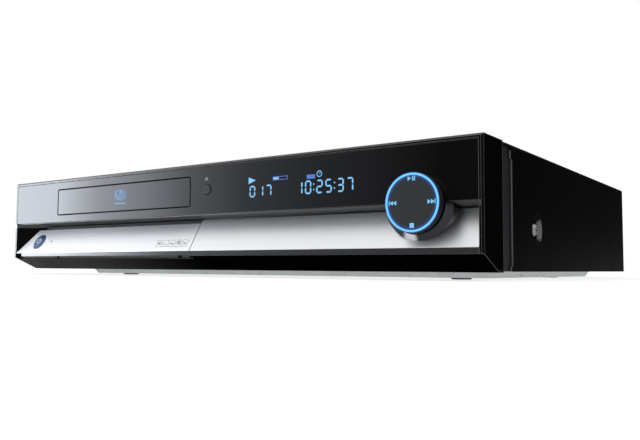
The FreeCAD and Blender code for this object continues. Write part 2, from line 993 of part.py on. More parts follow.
def card_bezel():
    """Black wall behind the card door, with the card slots and the power housing's hole."""
    right = split_x - split_gap / 2
    low = underside_z(bezel_front) + underside_rise + power_housing_fit
    high = ceiling_z(bezel_back) - power_housing_fit
    body = box((-half_width + cheek_wall + seat_gap, right), (bezel_front, bezel_back), (low, high))
    body = body.cut(power_housing_body(power_housing_radius + power_housing_fit))
    for slot in card_slots():
        body = body.cut(slot)
    return body


def power_housing():
    """Sleeve that holds the power button, its light ring and its switch."""
    start = (power_x, power_along, -power_housing_depth)
    bore = on_slope(rod(power_ring_outer + power_ring_fit, start, power_housing_depth, "z"))
    return power_housing_body(power_housing_radius).cut(bore)


def card_reader():
    """Card reader fastened behind the bezel."""
    back = bezel_back + reader_depth
    body = box((reader_left, reader_right), (bezel_back, back), (reader_low, reader_high))
    for slot in card_slots():
        body = body.cut(slot)
    return body


def power_light_ring():
    """Clear ring round the power button, seated in its housing."""
    length = power_ring_depth + power_ring_proud
    start = (power_x, power_along, -power_ring_depth)
    return on_slope(ring(power_ring_outer, power_ring_inner, start, length, "z"))


def standby_light():
    """Small indicator lamp on the bezel, behind its hole in the card door."""
    top = -trim_sheet - backing_wall - seat_gap
    low = -power_housing_depth - bezel_sheet * 2
    lamp = on_slope(rod(standby_light_radius, (standby_hole_x, power_along, low), top - low, "z"))
    return lamp.cut(box((-half_width, half_width), (bezel_front, 0), (0, cabinet_height)))


def power_button():
    """Power button's cap with its dished face and stem."""
    stem_end = -power_housing_depth + switch_height + switch_gap
    cap_low = -power_ring_depth + 1.0
    cap = rod(power_cap_radius, (power_x, power_along, cap_low), power_cap_proud - cap_low, "z")
    stem = rod(power_stem_radius, (power_x, power_along, stem_end), cap_low - stem_end, "z")
    edge = [
        e for e in cap.Edges
        if abs(e.BoundBox.ZMin - power_cap_proud) < 0.01 and e.BoundBox.ZLength < 0.01
    ]
    cap = cap.makeFillet(power_cap_proud * 0.8, edge)
    return on_slope(fused([cap, stem]))


def open_close_button():
    """Small domed button right of the tray door."""
    front = frame_front - open_proud
    flange_y = frame_front + panel_sheet + 0.4
    stem_end = front_board_y - switch_height - switch_gap
    cap = rod(open_radius, (open_x, front, open_z), flange_y + 1 - front, "y")
    edge = [e for e in cap.Edges if abs(e.BoundBox.YMin - front) < 0.01 and e.BoundBox.YLength < 0.01]
    cap = cap.makeFillet(open_proud, edge)
    flange = rod(open_flange, (open_x, flange_y, open_z), 1.0, "y")
    stem = rod(open_stem_radius, (open_x, flange_y, open_z), stem_end - flange_y, "y")
    return fused([cap, flange, stem])


def tray_door():
    """Front flap of the disc tray."""
    plate = rounded_plate(0.0)
    edges = [e for e in plate.Edges if e.BoundBox.YMax < frame_front + 0.01]
    return plate.makeChamfer(0.25, edges)


def control_skirt():
    """Flared chrome skirt below the round control, on the trim."""
    front = frame_front - 0.1
    outline = [
        (housing_radius + seat_gap, front),
        (skirt_top_radius, front),
        (skirt_radius, front + skirt_flare),
        (skirt_radius, bezel_front),
        (housing_radius + seat_gap, bezel_front),
    ]
    body = lathe_y(outline, control_x, control_z)
    far = frame_front - skirt_depth
    corner = meet((frame_front, panel_bottom - seat_gap), -ceiling_angle, slope_point(0.0), slope_angle)
    foot = slope_point(-skirt_foot)
    recess = [
        (far, ceiling_z(far) - seat_gap),
        corner,
        foot,
        (far, foot[1]),
    ]
    return body.common(prism_x(recess, (control_x - skirt_radius - 1, control_x + skirt_radius + 1)))


def control_housing():
    """Fixed cup that holds the control's gimbal, switches and board."""
    cup = rod(housing_radius, (control_x, housing_front, control_z), housing_back - housing_front, "y")
    depth = housing_back - housing_floor - housing_front
    cup = cup.cut(rod(housing_radius - housing_wall, (control_x, housing_front, control_z), depth, "y"))
    bore = rod(
        gimbal_pin_radius + gimbal_pin_fit,
        (control_x - housing_radius, control_pivot_y, control_z),
        2 * housing_radius,
        "x",
    )
    return cup.cut(bore)


def control_gimbal():
    """Ring that lets the control tilt both ways."""
    start = (control_x, control_pivot_y - gimbal_thickness / 2, control_z)
    body = ring(gimbal_outer, gimbal_inner, start, gimbal_thickness, "y")
    outer_reach = housing_radius - 0.5
    pin_x = rod(
        gimbal_pin_radius, (control_x - outer_reach, control_pivot_y, control_z), 2 * outer_reach, "x"
    )
    inner_reach = (gimbal_outer + gimbal_inner) / 2
    pin_z = rod(
        gimbal_pin_radius, (control_x, control_pivot_y, control_z - inner_reach), 2 * inner_reach, "z"
    )
    middle = rod(gimbal_inner, start, gimbal_thickness, "y")
    core = rod(control_hub_radius - 2.2, (start[0], start[1] - 2, start[2]), gimbal_thickness + 4, "y")
    return fused([body.fuse(pin_x.cut(middle)), pin_z.cut(core)])


def control_cap():
    """Round cap of the control, with the hub and tail behind it."""
    cap = rod(control_radius, (control_x, control_cap_front, control_z), control_thickness, "y")
    hollow = rod(
        control_radius - control_wall,
        (control_x, control_cap_front + control_ring_depth + control_wall, control_z),
        control_thickness,
        "y",
    )
    tail_front = control_pivot_y + gimbal_thickness / 2 + 1.2
    hub_start = control_cap_front + control_ring_depth
    hub = rod(control_hub_radius, (control_x, hub_start, control_z), tail_front - hub_start + 0.5, "y")
    tail = rod(control_tail_radius, (control_x, tail_front, control_z), control_tail_thickness, "y")
    body = fused([cap.cut(hollow), hub, tail])
    bore = rod(
        gimbal_pin_radius + gimbal_pin_fit,
        (control_x, control_pivot_y, control_z - control_hub_radius - 1),
        2 * control_hub_radius + 2,
        "z",
    )
    groove = ring(
        control_ring_outer,
        control_ring_inner,
        (control_x, control_cap_front - 1, control_z),
        control_ring_depth + 1,
        "y",
    )
    return body.cut(bore).cut(groove)


def control_light_ring():
    """Lit ring round the control's face."""
    start = (control_x, control_front, control_z)
    length = control_ring_depth + control_ring_proud
    return ring(control_ring_outer, control_ring_inner, start, length, "y")


def control_board():
    """Round board with the control's four switch domes."""
    front = housing_back - housing_floor - control_board_sheet
    radius = housing_radius - housing_wall - seat_gap
    body = rod(radius, (control_x, front, control_z), control_board_sheet, "y")
    for turn in range(4):
        angle = math.radians(90 * turn)
        x = control_x + dome_ring * math.cos(angle)
        z = control_z + dome_ring * math.sin(angle)
        body = body.fuse(rod(dome_radius, (x, front - dome_height, z), dome_height, "y"))
    return body.removeSplitter()


def front_board():
    """Upright board behind the fascia panel."""
    top = cabinet_height - frame_wall - seat_gap
    board = box(
        (front_board_left, front_board_right),
        (front_board_y, front_board_y + board_sheet),
        (front_board_low, top),
    )
    space = rod(housing_radius + seat_gap, (control_x, front_board_y - 1, control_z), board_sheet + 2, "y")
    return board.cut(space)


def display_tube():
    """Glass display on the front board."""
    front = front_board_y - display_depth
    glass = box((display_left, display_right), (front, front_board_y), (display_low, display_high))
    edges = [e for e in glass.Edges if e.BoundBox.YMax < front + 0.01]
    return glass.makeChamfer(0.8, edges)


def tact_switches():
    """Switches behind the open button and the power button."""
    half = switch_size / 2
    front = front_board_y - switch_height
    open_width = (open_x - half, open_x + half)
    open_switch = box(open_width, (front, front_board_y), (open_z - half, open_z + half))
    low = -power_housing_depth
    power_switch = box(
        (power_x - half, power_x + half),
        (power_along - half, power_along + half),
        (low, low + switch_height),
    )
    return [open_switch, on_slope(power_switch)]


def top_cover():
    """Bent steel cover: a top and two sides."""
    y = (seat_gap, cover_depth)
    outer = box((-half_width, half_width), y, (cover_lift, cabinet_height))
    outer_top = cabinet_height - 0.01
    long_edges = [e for e in outer.Edges if e.BoundBox.YLength > 1 and e.BoundBox.ZMin > outer_top]
    outer = outer.makeFillet(cover_bend, long_edges)
    inner = box(
        (-cover_inside, cover_inside), (y[0] - 1, y[1] + 1), (cover_lift - 1, cabinet_height - cover_sheet)
    )
    inner_edges = [
        e for e in inner.Edges
        if e.BoundBox.YLength > 1 and e.BoundBox.ZMin > outer_top - cover_sheet
    ]
    inner = inner.makeFillet(cover_bend - cover_sheet, inner_edges)
    body = outer.cut(inner)
    strip_top = cabinet_height - cover_bend
    for side in (-1, 1):
        x = sorted((side * (cover_inside - 0.1), side * (half_width + 1)))
        body = body.cut(box(x, (0, strip_width), (0, strip_top)))
        step = box(x, (0, strip_width + strip_step), (strip_step_bottom, strip_step_top))
        body = body.cut(step)
        body = dished(body, side)
    return body.cut(Part.makeCompound(cover_vents()))


def dished(body, side):
    """Presses the seat of a side screw into one side of the cover."""
    outside = Vector(side * half_width, dish_y, dish_z)
    inside = Vector(side * cover_inside, dish_y, dish_z)
    into = Vector(-side, 0, 0)
    boss = Part.makeCone(dish_radius + 0.6, dish_floor_radius + 0.6, dish_depth, inside, into)
    dent = Part.makeCone(dish_radius, dish_floor_radius, dish_depth, outside, into)
    hole = Part.makeCylinder(side_screw_radius + 0.2, 3 * dish_depth, outside, into)
    return body.fuse(boss).cut(dent).cut(hole)


def cover_vents():
    """Rows of slots over the power board."""
    slots = []
    middle = (power_board_left + power_board_right) / 2
    for row in range(vent_rows):
        left = middle + (row - vent_rows / 2) * (vent_length + vent_pitch) + vent_pitch / 2
        for place in range(vent_count):
            y = vent_first_y + place * vent_pitch
            through = (cabinet_height - 3, cabinet_height + 1)
            slots.append(box((left, left + vent_length), (y, y + vent_width), through))
    return slots


def cover_screws():
    """Screws that hold the cover: one in each dished seat, and a row along the back."""
    return side_screws() + rear_screws()


def side_screws():
    """Two pan-head screws in the cover's dished seats."""
    screws = []
    for side in (-1, 1):
        into = Vector(-side, 0, 0)
        seat = Vector(side * (half_width - dish_depth), dish_y, dish_z)
        outward = Vector(side, 0, 0)
        head = Part.makeCone(
            side_screw_head_radius, side_screw_head_radius * 0.7, side_screw_head_height, seat, outward
        )
        shank = Part.makeCylinder(side_screw_radius, side_screw_length, seat, into)
        top = side * (half_width - dish_depth + side_screw_head_height)
        x = (top - cross_depth, top + cross_depth)
        long, short = side_cross_reach, cross_half_width
        cross = box(x, (dish_y - long, dish_y + long), (dish_z - short, dish_z + short))
        cross = cross.fuse(box(x, (dish_y - short, dish_y + short), (dish_z - long, dish_z + long)))
        screws.append(head.fuse(shank).cut(cross).removeSplitter())
    return screws


def rear_screws():
    """Screws along the top of the rear panel."""
    screws = []
    face = rear_panel_y + rear_panel_sheet
    for x in rear_screw_places:
        head = Part.makeCone(
            rear_screw_head,
            rear_screw_head * 0.75,
            rear_screw_height,
            Vector(x, face, rear_screw_z),
            AXES["y"],
        )
        shank = rod(rear_screw_radius, (x, face - rear_screw_reach, rear_screw_z), rear_screw_reach, "y")
        top = face + rear_screw_height
        y = (top - cross_depth, top + cross_depth)
        long, short = rear_cross_reach, cross_half_width
        cross = box((x - long, x + long), y, (rear_screw_z - short, rear_screw_z + short))
        cross = cross.fuse(box((x - short, x + short), y, (rear_screw_z - long, rear_screw_z + long)))
        screws.append(head.fuse(shank).cut(cross).removeSplitter())
    return screws


def side_strips():
    """Recessed strips between the front frame and the cover's sides."""
    strips = []
    for side in (-1, 1):
        outer = side * (half_width - strip_inset)
        x = sorted((outer, outer - side * strip_sheet))
        y = (seat_gap, strip_width + strip_step + strip_overlap)
        strips.append(box(x, y, (cover_lift + 0.2, cabinet_height - cover_bend - 0.4)))
    return strips


def chassis_pan():
    """Bottom sheet with side flanges, a dropped middle, slots and standoffs."""
    flange_outer = half_width - dish_depth - cover_sheet
    y = (seat_gap, rear_panel_y - seat_gap)
    wide_front = strip_width + strip_step + strip_overlap + seat_gap
    narrow = half_width - strip_inset - strip_sheet - seat_gap
    wide = cover_inside - seat_gap
    parts = [
        box((-narrow, narrow), (y[0], wide_front), (pan_low, pan_floor)),
        box((-wide, wide), (wide_front, y[1]), (pan_low, pan_floor)),
    ]
    for side in (-1, 1):
        x = sorted((side * flange_outer, side * (flange_outer - pan_sheet)))
        parts.append(box(x, (wide_front, y[1]), (pan_low, pan_flange_top)))
    drop_x = (pan_drop_left, pan_drop_right)
    drop_y = (pan_drop_front, pan_drop_back)
    parts.append(frustum(drop_x, drop_y, drop_low, pan_floor, pan_drop_run))
    body = fused(parts)
    inner_x = (drop_x[0] + pan_sheet, drop_x[1] - pan_sheet)
    inner_y = (drop_y[0] + pan_sheet, drop_y[1] - pan_sheet)
    hollow = frustum(inner_x, inner_y, drop_floor, pan_floor + 0.001, pan_drop_run)
    body = body.cut(hollow)
    body = body.cut(Part.makeCompound(pan_slots()))
    posts = []
    for x, y_post in standoff_places(main_board_left, main_board_right, main_board_front, main_board_back):
        floor = drop_floor if y_post < pan_drop_back else pan_floor
        posts.append(rod(standoff_radius, (x, y_post, floor), main_board_low - floor, "z"))
    edges = (power_board_left, power_board_right, power_board_front, power_board_back)
    for x, y_post in standoff_places(*edges):
        posts.append(rod(standoff_radius, (x, y_post, pan_floor), power_board_low - pan_floor, "z"))
    for side in (-1, 1):
        outside = Vector(side * (flange_outer + 1), dish_y, dish_z)
        inward = Vector(-side, 0, 0)
        hole = Part.makeCylinder(side_screw_radius + screw_fit, side_screw_length, outside, inward)
        body = body.cut(hole)
    return fused([body] + posts)


def pan_slots():
    """Air slots in the dropped floor below the main board."""
    slots = []
    first = (main_board_left + main_board_right - pan_slot_count * pan_slot_pitch) / 2
    for place in range(pan_slot_count):
        x = first + place * pan_slot_pitch
        for y in pan_slot_rows:
            slots.append(box((x, x + pan_slot_width), (y, y + pan_slot_length), (0, pan_floor)))
    return slots


def standoff_places(left, right, front, back):
    """(x, y) of a board's four standoffs."""
    x_places = (left + standoff_inset, right - standoff_inset)
    y_places = (front + standoff_inset, back - standoff_back_inset)
    return [(x, y) for x in x_places for y in y_places]


def feet():
    """Four low feet under the dropped floor."""
    solids = []
    for x in (foot_left, foot_right):
        for y in (foot_front, foot_back):
            solids.append(
                Part.makeCone(foot_radius - foot_taper, foot_radius, drop_low, Vector(x, y, 0), AXES["z"])
            )
    return solids


def disc_tray():
    """Drawer for the disc, with its rack below."""
    x = (drive_x - tray_half_width, drive_x + tray_half_width)
    front = frame_front + tray_door_sheet
    body = box(x, (front, tray_back), (tray_low, tray_high))
    body = body.cut(rod(disc_recess_radius, (drive_x, disc_y, disc_recess_floor), tray_high, "z"))
    small_floor = disc_recess_floor - small_recess_depth
    body = body.cut(rod(small_recess_radius, (drive_x, disc_y, small_floor), tray_high, "z"))
    slot_x = (drive_x - tray_slot_half_width, drive_x + tray_slot_half_width)
    body = body.cut(box(slot_x, (disc_y - tray_slot_front, tray_back + 1), (tray_low - 1, tray_high + 1)))
    return fused([body, tray_rack()])


def tray_rack():
    """Rack along the tray's underside, with its teeth towards the drive gear."""
    pitch = math.pi * rack_module
    lean = math.tan(math.radians(pressure_angle))
    tip = rack_pitch_x - tooth_height * rack_module
    foot = rack_pitch_x + tooth_foot * rack_module
    half = pitch / 4 - tooth_backlash / 2
    half_tip = half - tooth_height * rack_module * lean
    half_foot = half + tooth_foot * rack_module * lean
    first = math.ceil((rack_front - gear_y) / pitch - 0.5)
    last = math.floor((rack_back - gear_y) / pitch - 0.5)
    points = [(foot + rack_body, rack_back), (foot + rack_body, rack_front), (foot, rack_front)]
    for number in range(first, last):
        middle = gear_y + (number + 0.5) * pitch
        points += [
            (foot, middle - half_foot),
            (tip, middle - half_tip),
            (tip, middle + half_tip),
            (foot, middle + half_foot),
        ]
    points.append((foot, rack_back))
    return prism_z(points, (rack_low, tray_low))


def gear_outline(teeth, module, turn):
    """Gear's outline about the origin, with a tooth's middle at that angle in degrees."""
    pitch = module * teeth / 2
    pressure = math.radians(pressure_angle)
    base = pitch * math.cos(pressure)
    tip = pitch + tooth_height * module
    foot = pitch - tooth_foot * module
    half = math.pi / (2 * teeth) - tooth_backlash / (2 * pitch)
    lowest = max(base, foot)
    radii = [lowest + (tip - lowest) * step / 4 for step in range(5)]

    def half_angle(radius):
        roll = math.acos(min(1.0, base / radius))
        return half + math.tan(pressure) - pressure - (math.tan(roll) - roll)

    flank = [(r, half_angle(r)) for r in radii]
    if foot < base:
        flank = [(foot, half_angle(lowest))] + flank
    points = []
    for number in range(teeth):
        middle = math.radians(turn) + 2 * math.pi * number / teeth
        side = [(r, middle - a) for r, a in flank] + [(r, middle + a) for r, a in reversed(flank)]
        points += [(r * math.cos(a), r * math.sin(a)) for r, a in side]
    return points


def gear(teeth, module, turn, x, y, z):
    """Gear with an upright axis between two Z values."""
    return prism_z([(x + a, y + b) for a, b in gear_outline(teeth, module, turn)], z)


def tray_drive_gear():
    """Double gear: the upper pinion drives the rack, the lower gear is driven."""
    x = drive_x + gear_x
    hub = rod(gear_hub_radius, (x, gear_y, deck_top + pulley_lift), gear_low - deck_top - pulley_lift, "z")
    lower = gear(large_gear_teeth, gear_module, 180.0, x, gear_y, (gear_low, gear_low + gear_height))
    upper = gear(pinion_teeth, rack_module, 0.0, x, gear_y, (gear_low + gear_height, pinion_top))
    bore = rod(gear_post_radius + gear_fit, (x, gear_y, deck_top), pinion_top - deck_top + 1, "z")
    return fused([hub, lower, upper]).cut(bore)


def pulley_profile(groove_radius, low):
    """(radius, z) outline of a belt pulley with two rims."""
    rim = groove_radius + pulley_rim
    high = low + pulley_height
    sheet = pulley_rim_sheet
    return [
        (0.0, low),
        (rim, low),
        (rim, low + sheet * 0.6),
        (groove_radius, low + sheet),
        (groove_radius, high - sheet),
        (rim, high - sheet * 0.6),
        (rim, high),
        (0.0, high),
    ]


def loading_pulley():
    """Pulley with the small gear that turns the drive gear."""
    low = deck_top + pulley_lift
    body = lathe_z(pulley_profile(pulley_groove_radius, low), pulley_x, gear_y)
    turn = 180.0 / small_gear_teeth
    top = low + pulley_height
    teeth = gear(small_gear_teeth, gear_module, turn, pulley_x, gear_y, (top, gear_low + gear_height))
    bore = rod(gear_post_radius + gear_fit, (pulley_x, gear_y, low - 1), 12, "z")
    return fused([body, teeth]).cut(bore)


def motor_pulley():
    """Small pulley and the loading motor's shaft."""
    low = deck_top + pulley_lift
    x = drive_x + motor_x
    body = lathe_z(pulley_profile(motor_groove_radius, low), x, gear_y)
    shaft_low = deck_low - motor_shaft_depth / 2
    shaft = rod(motor_shaft_radius, (x, gear_y, shaft_low), low - shaft_low + 1, "z")
    return fused([body, shaft])


def round_belt_outline(radius_a, radius_b, z):
    """Solid round both pulleys: two discs and the space between their tangents."""
    ax, bx = drive_x + motor_x, pulley_x
    lean = math.asin((radius_b - radius_a) / (bx - ax))
    corners = []
    for side in (1, -1):
        across = (-math.sin(lean), side * math.cos(lean))
        corners.append((ax + radius_a * across[0], gear_y + radius_a * across[1]))
        corners.append((bx + radius_b * across[0], gear_y + radius_b * across[1]))
    middle = prism_z([corners[0], corners[1], corners[3], corners[2]], z)
    disc_a = rod(radius_a, (ax, gear_y, z[0]), z[1] - z[0], "z")
    disc_b = rod(radius_b, (bx, gear_y, z[0]), z[1] - z[0], "z")
    return middle.fuse(disc_a).fuse(disc_b).removeSplitter()


def loading_belt():
    """Rubber belt round the two pulleys."""
    z = (belt_low, belt_low + belt_height)
    inner_a = motor_groove_radius + belt_gap
    inner_b = pulley_groove_radius + belt_gap
    outer = round_belt_outline(inner_a + belt_thickness, inner_b + belt_thickness, z)
    return outer.cut(round_belt_outline(inner_a, inner_b, (z[0] - 1, z[1] + 1)))


def loading_motor():
    """Motor under the loader's deck."""
    x = drive_x + motor_x
    low = deck_low - loading_motor_height
    can = rod(loading_motor_radius, (x, gear_y, low), loading_motor_height, "z")
    half_x = loading_motor_radius + 1
    flats = box(
        (x - half_x, x + half_x),
        (gear_y - loading_motor_flat, gear_y + loading_motor_flat),
        (low, deck_low),
    )
    start = (x, gear_y, deck_low - motor_shaft_depth)
    bore = rod(motor_shaft_radius + gear_fit, start, motor_shaft_depth, "z")
    return can.common(flats).cut(bore)


def loader_frame():
    """Moulded frame of the disc drive."""
    parts = []
    for side in (-1, 1):
        wall = sorted((drive_x + side * loader_inner, drive_x + side * loader_outer))
        parts.append(box(wall, (loader_front, loader_back), (loader_low, loader_high)))
        ledge = sorted((drive_x + side * (loader_inner - ledge_reach), drive_x + side * loader_inner))
        ledge_y = (loader_front + loader_wall / 2, loader_back - loader_wall)
        ledge_top = tray_low - seat_gap
        parts.append(box(ledge, ledge_y, (ledge_top - ledge_sheet, ledge_top)))
        tab_low = tray_high + seat_gap
        for tab_place in tab_places:
            tab_y = loader_front + tab_place
            parts.append(box(ledge, (tab_y, tab_y + tab_length), (tab_low, tab_low + tab_sheet)))
    inside = (drive_x - loader_inner, drive_x + loader_inner)
    deck_y = (loader_front + loader_wall / 2, loader_front + deck_depth)
    front_z = (deck_low - deck_front_below, deck_top + deck_front_above)
    parts.append(box(inside, deck_y, (deck_low, deck_top)))
    parts.append(box(inside, (loader_front, loader_front + loader_wall), front_z))
    back_wall = (loader_back - loader_wall, loader_back)
    parts.append(box(inside, back_wall, (loader_low, tray_low - ledge_reach)))
    for x, top in ((drive_x + gear_x, pinion_top), (pulley_x, gear_low + gear_height)):
        parts.append(rod(gear_post_radius, (x, gear_y, deck_low), top - seat_gap - deck_low, "z"))
    body = fused(parts)
    motor_hole = rod(motor_hole_radius, (drive_x + motor_x, gear_y, deck_low - 1), deck_sheet + 2, "z")
    trunnion_bore = rod(
        trunnion_radius + trunnion_fit,
        (drive_x - loader_outer - 1, traverse_pivot_y, traverse_pivot_z),
        2 * loader_outer + 2,
        "x",
    )
    return body.cut(motor_hole).cut(trunnion_bore)


def clamp_bridge():
    """Steel strip over the tray that carries the clamper."""
    outer = loader_outer
    z = (loader_high, loader_high + bridge_sheet)
    y = (disc_y - bridge_half_depth - 4, disc_y + bridge_half_depth + 4)
    strip = box((drive_x - outer, drive_x + outer), y, z)
    start = (drive_x, disc_y, z[0] - 1)
    return strip.cut(rod(clamper_radius + clamper_hole_gap, start, bridge_sheet + 2, "z"))


def clamper():
    """Flanged puck that presses the disc on the turntable."""
    flange_low = loader_high + bridge_sheet + seat_gap
    flange_high = flange_low + clamper_flange_sheet
    dish_radius_inside = turntable_boss_radius + clamper_dish_gap
    profile = [
        (0.0, clamper_low + clamper_dish_depth),
        (dish_radius_inside, clamper_low + clamper_dish_depth),
        (dish_radius_inside, clamper_low),
        (clamper_radius, clamper_low),
        (clamper_radius, flange_low),
        (clamper_flange, flange_low),
        (clamper_flange, flange_high),
        (0.0, flange_high),
    ]
    return lathe_z(profile, drive_x, disc_y)


def traverse():
    """Tilting plate that carries the spindle, rails and sled."""
    half = traverse_half_width
    x = (drive_x - half, drive_x + half)
    z = (traverse_low, traverse_top)
    plate = box(x, (traverse_front, traverse_back), z)
    window = box(
        (drive_x - sled_half_width - 1, drive_x + sled_half_width + 1),
        (sled_front + 2, rail_back - 6),
        (z[0] - 1, z[1] + 1),
    )
    wide = tray_half_width - 0.5
    arm_y = (traverse_back - traverse_arm_depth, traverse_back)
    arms = box((drive_x - wide, drive_x + wide), arm_y, z)
    reach = loader_outer - loader_side_gap
    trunnion_height = traverse_sheet / 2
    trunnions = rod(
        trunnion_radius, (drive_x - reach, traverse_pivot_y, traverse_low + trunnion_height), 2 * reach, "x"
    )
    parts = [plate.cut(window), arms, trunnions]
    for side in (-1, 1):
        middle = drive_x + side * rail_x
        post_x = (middle - rail_post_half_width, middle + rail_post_half_width)
        for y in (rail_front, rail_back - rail_post_depth):
            post_top = traverse_top + rail_post_height
            parts.append(box(post_x, (y, y + rail_post_depth), (traverse_low, post_top)))
    screw_middle = drive_x + screw_x
    bearing_x = (screw_middle - rail_post_half_width, screw_middle + rail_post_half_width)
    bearing_y = (screw_front + bearing_inset, screw_front + bearing_inset + bearing_depth)
    parts.append(box(bearing_x, bearing_y, (traverse_low, traverse_top + rail_post_height)))
    body = fused(parts)
    for side in (-1, 1):
        start = (drive_x + side * rail_x, rail_front, rail_z)
        body = body.cut(rod(rail_radius, start, rail_back - rail_front, "y"))
    return body.cut(rod(screw_radius + rail_fit, (screw_middle, screw_front - 1, rail_z), 8, "y"))


def guide_rails():
    """Two steel rods that guide the sled."""
    return [
        rod(rail_radius, (drive_x + side * rail_x, rail_front, rail_z), rail_back - rail_front, "y")
        for side in (-1, 1)
    ]


def spindle_motor():
    """Flat motor under the turntable."""
    can = rod(spindle_radius, (drive_x, disc_y, traverse_top), spindle_height, "z")
    step = rod(spindle_radius + spindle_step, (drive_x, disc_y, traverse_top), spindle_step, "z")
    start = (drive_x, disc_y, traverse_top + spindle_bore_low)
    bore = rod(gear_post_radius + gear_fit, start, spindle_height, "z")
    return fused([can, step]).cut(bore)


def turntable():
    """Turntable with its centring boss, hub and shaft."""
    motor_top = traverse_top + spindle_height
    shaft_low = traverse_top + spindle_bore_low + 1.0
    profile = [
        (0.0, shaft_low),
        (gear_post_radius, shaft_low),
        (gear_post_radius, motor_top + seat_gap),
        (turntable_hub_radius, motor_top + seat_gap),
        (turntable_hub_radius, disc_seat - turntable_sheet),
        (turntable_radius, disc_seat - turntable_sheet),
        (turntable_radius, disc_seat),
        (turntable_boss_radius, disc_seat),
        (turntable_boss_radius - turntable_boss_taper, disc_seat + turntable_boss_height),
        (0.0, disc_seat + turntable_boss_height),
    ]
    return lathe_z(profile, drive_x, disc_y)


def pickup_sled():
    """Laser sled on its rails, with an arm at the lead screw."""
    y = (sled_front, sled_front + sled_length)
    body = box((drive_x - sled_half_width, drive_x + sled_half_width), y, (sled_low, sled_high))
    ear_z = (rail_z - sled_ear_half_height, rail_z + sled_ear_half_height)
    ear_reach = sled_half_width + sled_ear
    ears = box((drive_x - ear_reach, drive_x + ear_reach), (y[0] + 2, y[1] - 2), ear_z)
    arm_reach = screw_x - screw_radius - seat_gap
    arm_y = (y[0] + sled_arm_start, y[0] + sled_arm_start + sled_arm_length)
    arm_z = (rail_z - sled_arm_half_height, rail_z + sled_arm_half_height)
    arm = box((drive_x + ear_reach - 1, drive_x + arm_reach), arm_y, arm_z)
    body = fused([body, ears, arm])
    for side in (-1, 1):
        start = (drive_x + side * rail_x, y[0], rail_z)
        body = body.cut(rod(rail_radius + rail_fit, start, sled_length, "y"))
    return body


def pickup_lens():
    """Lens in its round holder on the sled."""
    y = sled_front + lens_offset
    start = (drive_x, y, sled_high)
    holder = ring(lens_radius + lens_rim, lens_radius - lens_seat, start, lens_shoulder, "z")
    glass_radius = lens_radius - lens_seat / 2
    profile = [
        (0.0, sled_high + lens_seat),
        (glass_radius, sled_high + lens_seat),
        (glass_radius, sled_high + lens_shoulder),
        (lens_crown_radius, sled_high + lens_height),
        (0.0, sled_high + lens_height),
    ]
    return fused([holder, lathe_z(profile, drive_x, y)])


def lead_screw():
    """Screw that draws the sled, with turned grooves."""
    x = drive_x + screw_x
    body = rod(screw_radius, (x, screw_front, rail_z), screw_back - screw_front, "y")
    grooves = []
    first = sled_front + 4
    count = int((screw_back - 4 - first) / screw_pitch)
    for number in range(count):
        y = first + number * screw_pitch
        groove = ring(screw_radius + 1, screw_radius - screw_groove, (x, y, rail_z), screw_pitch / 2, "y")
        grooves.append(groove)
    return body.cut(Part.makeCompound(grooves))


def sled_motor():
    """Motor at the back end of the lead screw, on its saddle."""
    x = drive_x + screw_x
    start = screw_back + seat_gap
    can = rod(sled_motor_radius, (x, start, rail_z), sled_motor_length, "y")
    saddle_y = (start + saddle_inset, start + sled_motor_length - saddle_inset)
    saddle = box((x - saddle_half_width, x + saddle_half_width), saddle_y, (traverse_top, rail_z))
    return fused([can, saddle])


def drive_mounts():
    """Four posts that carry the drive."""
    posts = []
    for side in (-1, 1):
        for y in (mount_front, mount_back):
            start = (drive_x + side * mount_x, y, drop_floor)
            posts.append(rod(mount_radius, start, loader_low - drop_floor, "z"))
    return posts


def main_board():
    """Main circuit board with a few packages on it."""
    z = (main_board_low, main_board_low + board_sheet)
    board = box((main_board_left, main_board_right), (main_board_front, main_board_back), z)
    packages = []
    for side_inset, front_inset, width, length, height in left_packages:
        x = main_board_left + side_inset
        y = main_board_front + front_inset
        packages.append(box((x, x + width), (y, y + length), (z[1], z[1] + height)))
    for side_inset, front_inset, width, length, height in right_packages:
        x = main_board_right - side_inset
        y = main_board_front + front_inset
        packages.append(box((x - width, x), (y, y + length), (z[1], z[1] + height)))
    return fused([board] + packages)


def finned(x, y, z_low, base, height):
    """Heat sink with a base plate and upright fins along Y."""
    parts = [box(x, y, (z_low, z_low + base))]
    count = int((x[1] - x[0] - sink_fin) / sink_pitch) + 1
    for number in range(count):
        left = x[0] + number * sink_pitch
        parts.append(box((left, left + sink_fin), y, (z_low + base / 2, z_low + height)))
    return fused(parts)


def main_heat_sink():
    """Finned heat sink over the main processor."""
    return finned(sink_x, sink_y, main_board_low + board_sheet, sink_base, sink_height)


def power_board():
    """Power supply board."""
    z = (power_board_low, power_board_low + board_sheet)
    return box((power_board_left, power_board_right), (power_board_front, power_board_back), z)


def transformer():
    """Transformer: a core with its winding showing at both ends."""
    low = power_board_low + board_sheet
    core_y = (transformer_y[0] + bobbin_inset, transformer_y[1] - bobbin_inset)
    core = box(transformer_x, core_y, (low, low + transformer_height))
    winding_x = (transformer_x[0] + bobbin_inset, transformer_x[1] - bobbin_inset)
    winding = box(winding_x, transformer_y, (low, low + transformer_height - bobbin_inset))
    return fused([core, winding])


def capacitors():
    """Upright electrolytic capacitors on the power board."""
    low = power_board_low + board_sheet
    return [rod(capacitor_radius, (capacitor_x, y, low), capacitor_height, "z") for y in capacitor_places]


def power_heat_sinks():
    """Plate heat sinks on the power board."""
    low = power_board_low + board_sheet
    sinks = []
    for y in power_sink_places:
        x = (power_sink_x, power_sink_x + power_sink_sheet)
        sinks.append(box(x, (y, y + power_sink_length), (low, low + power_sink_height)))
    return sinks


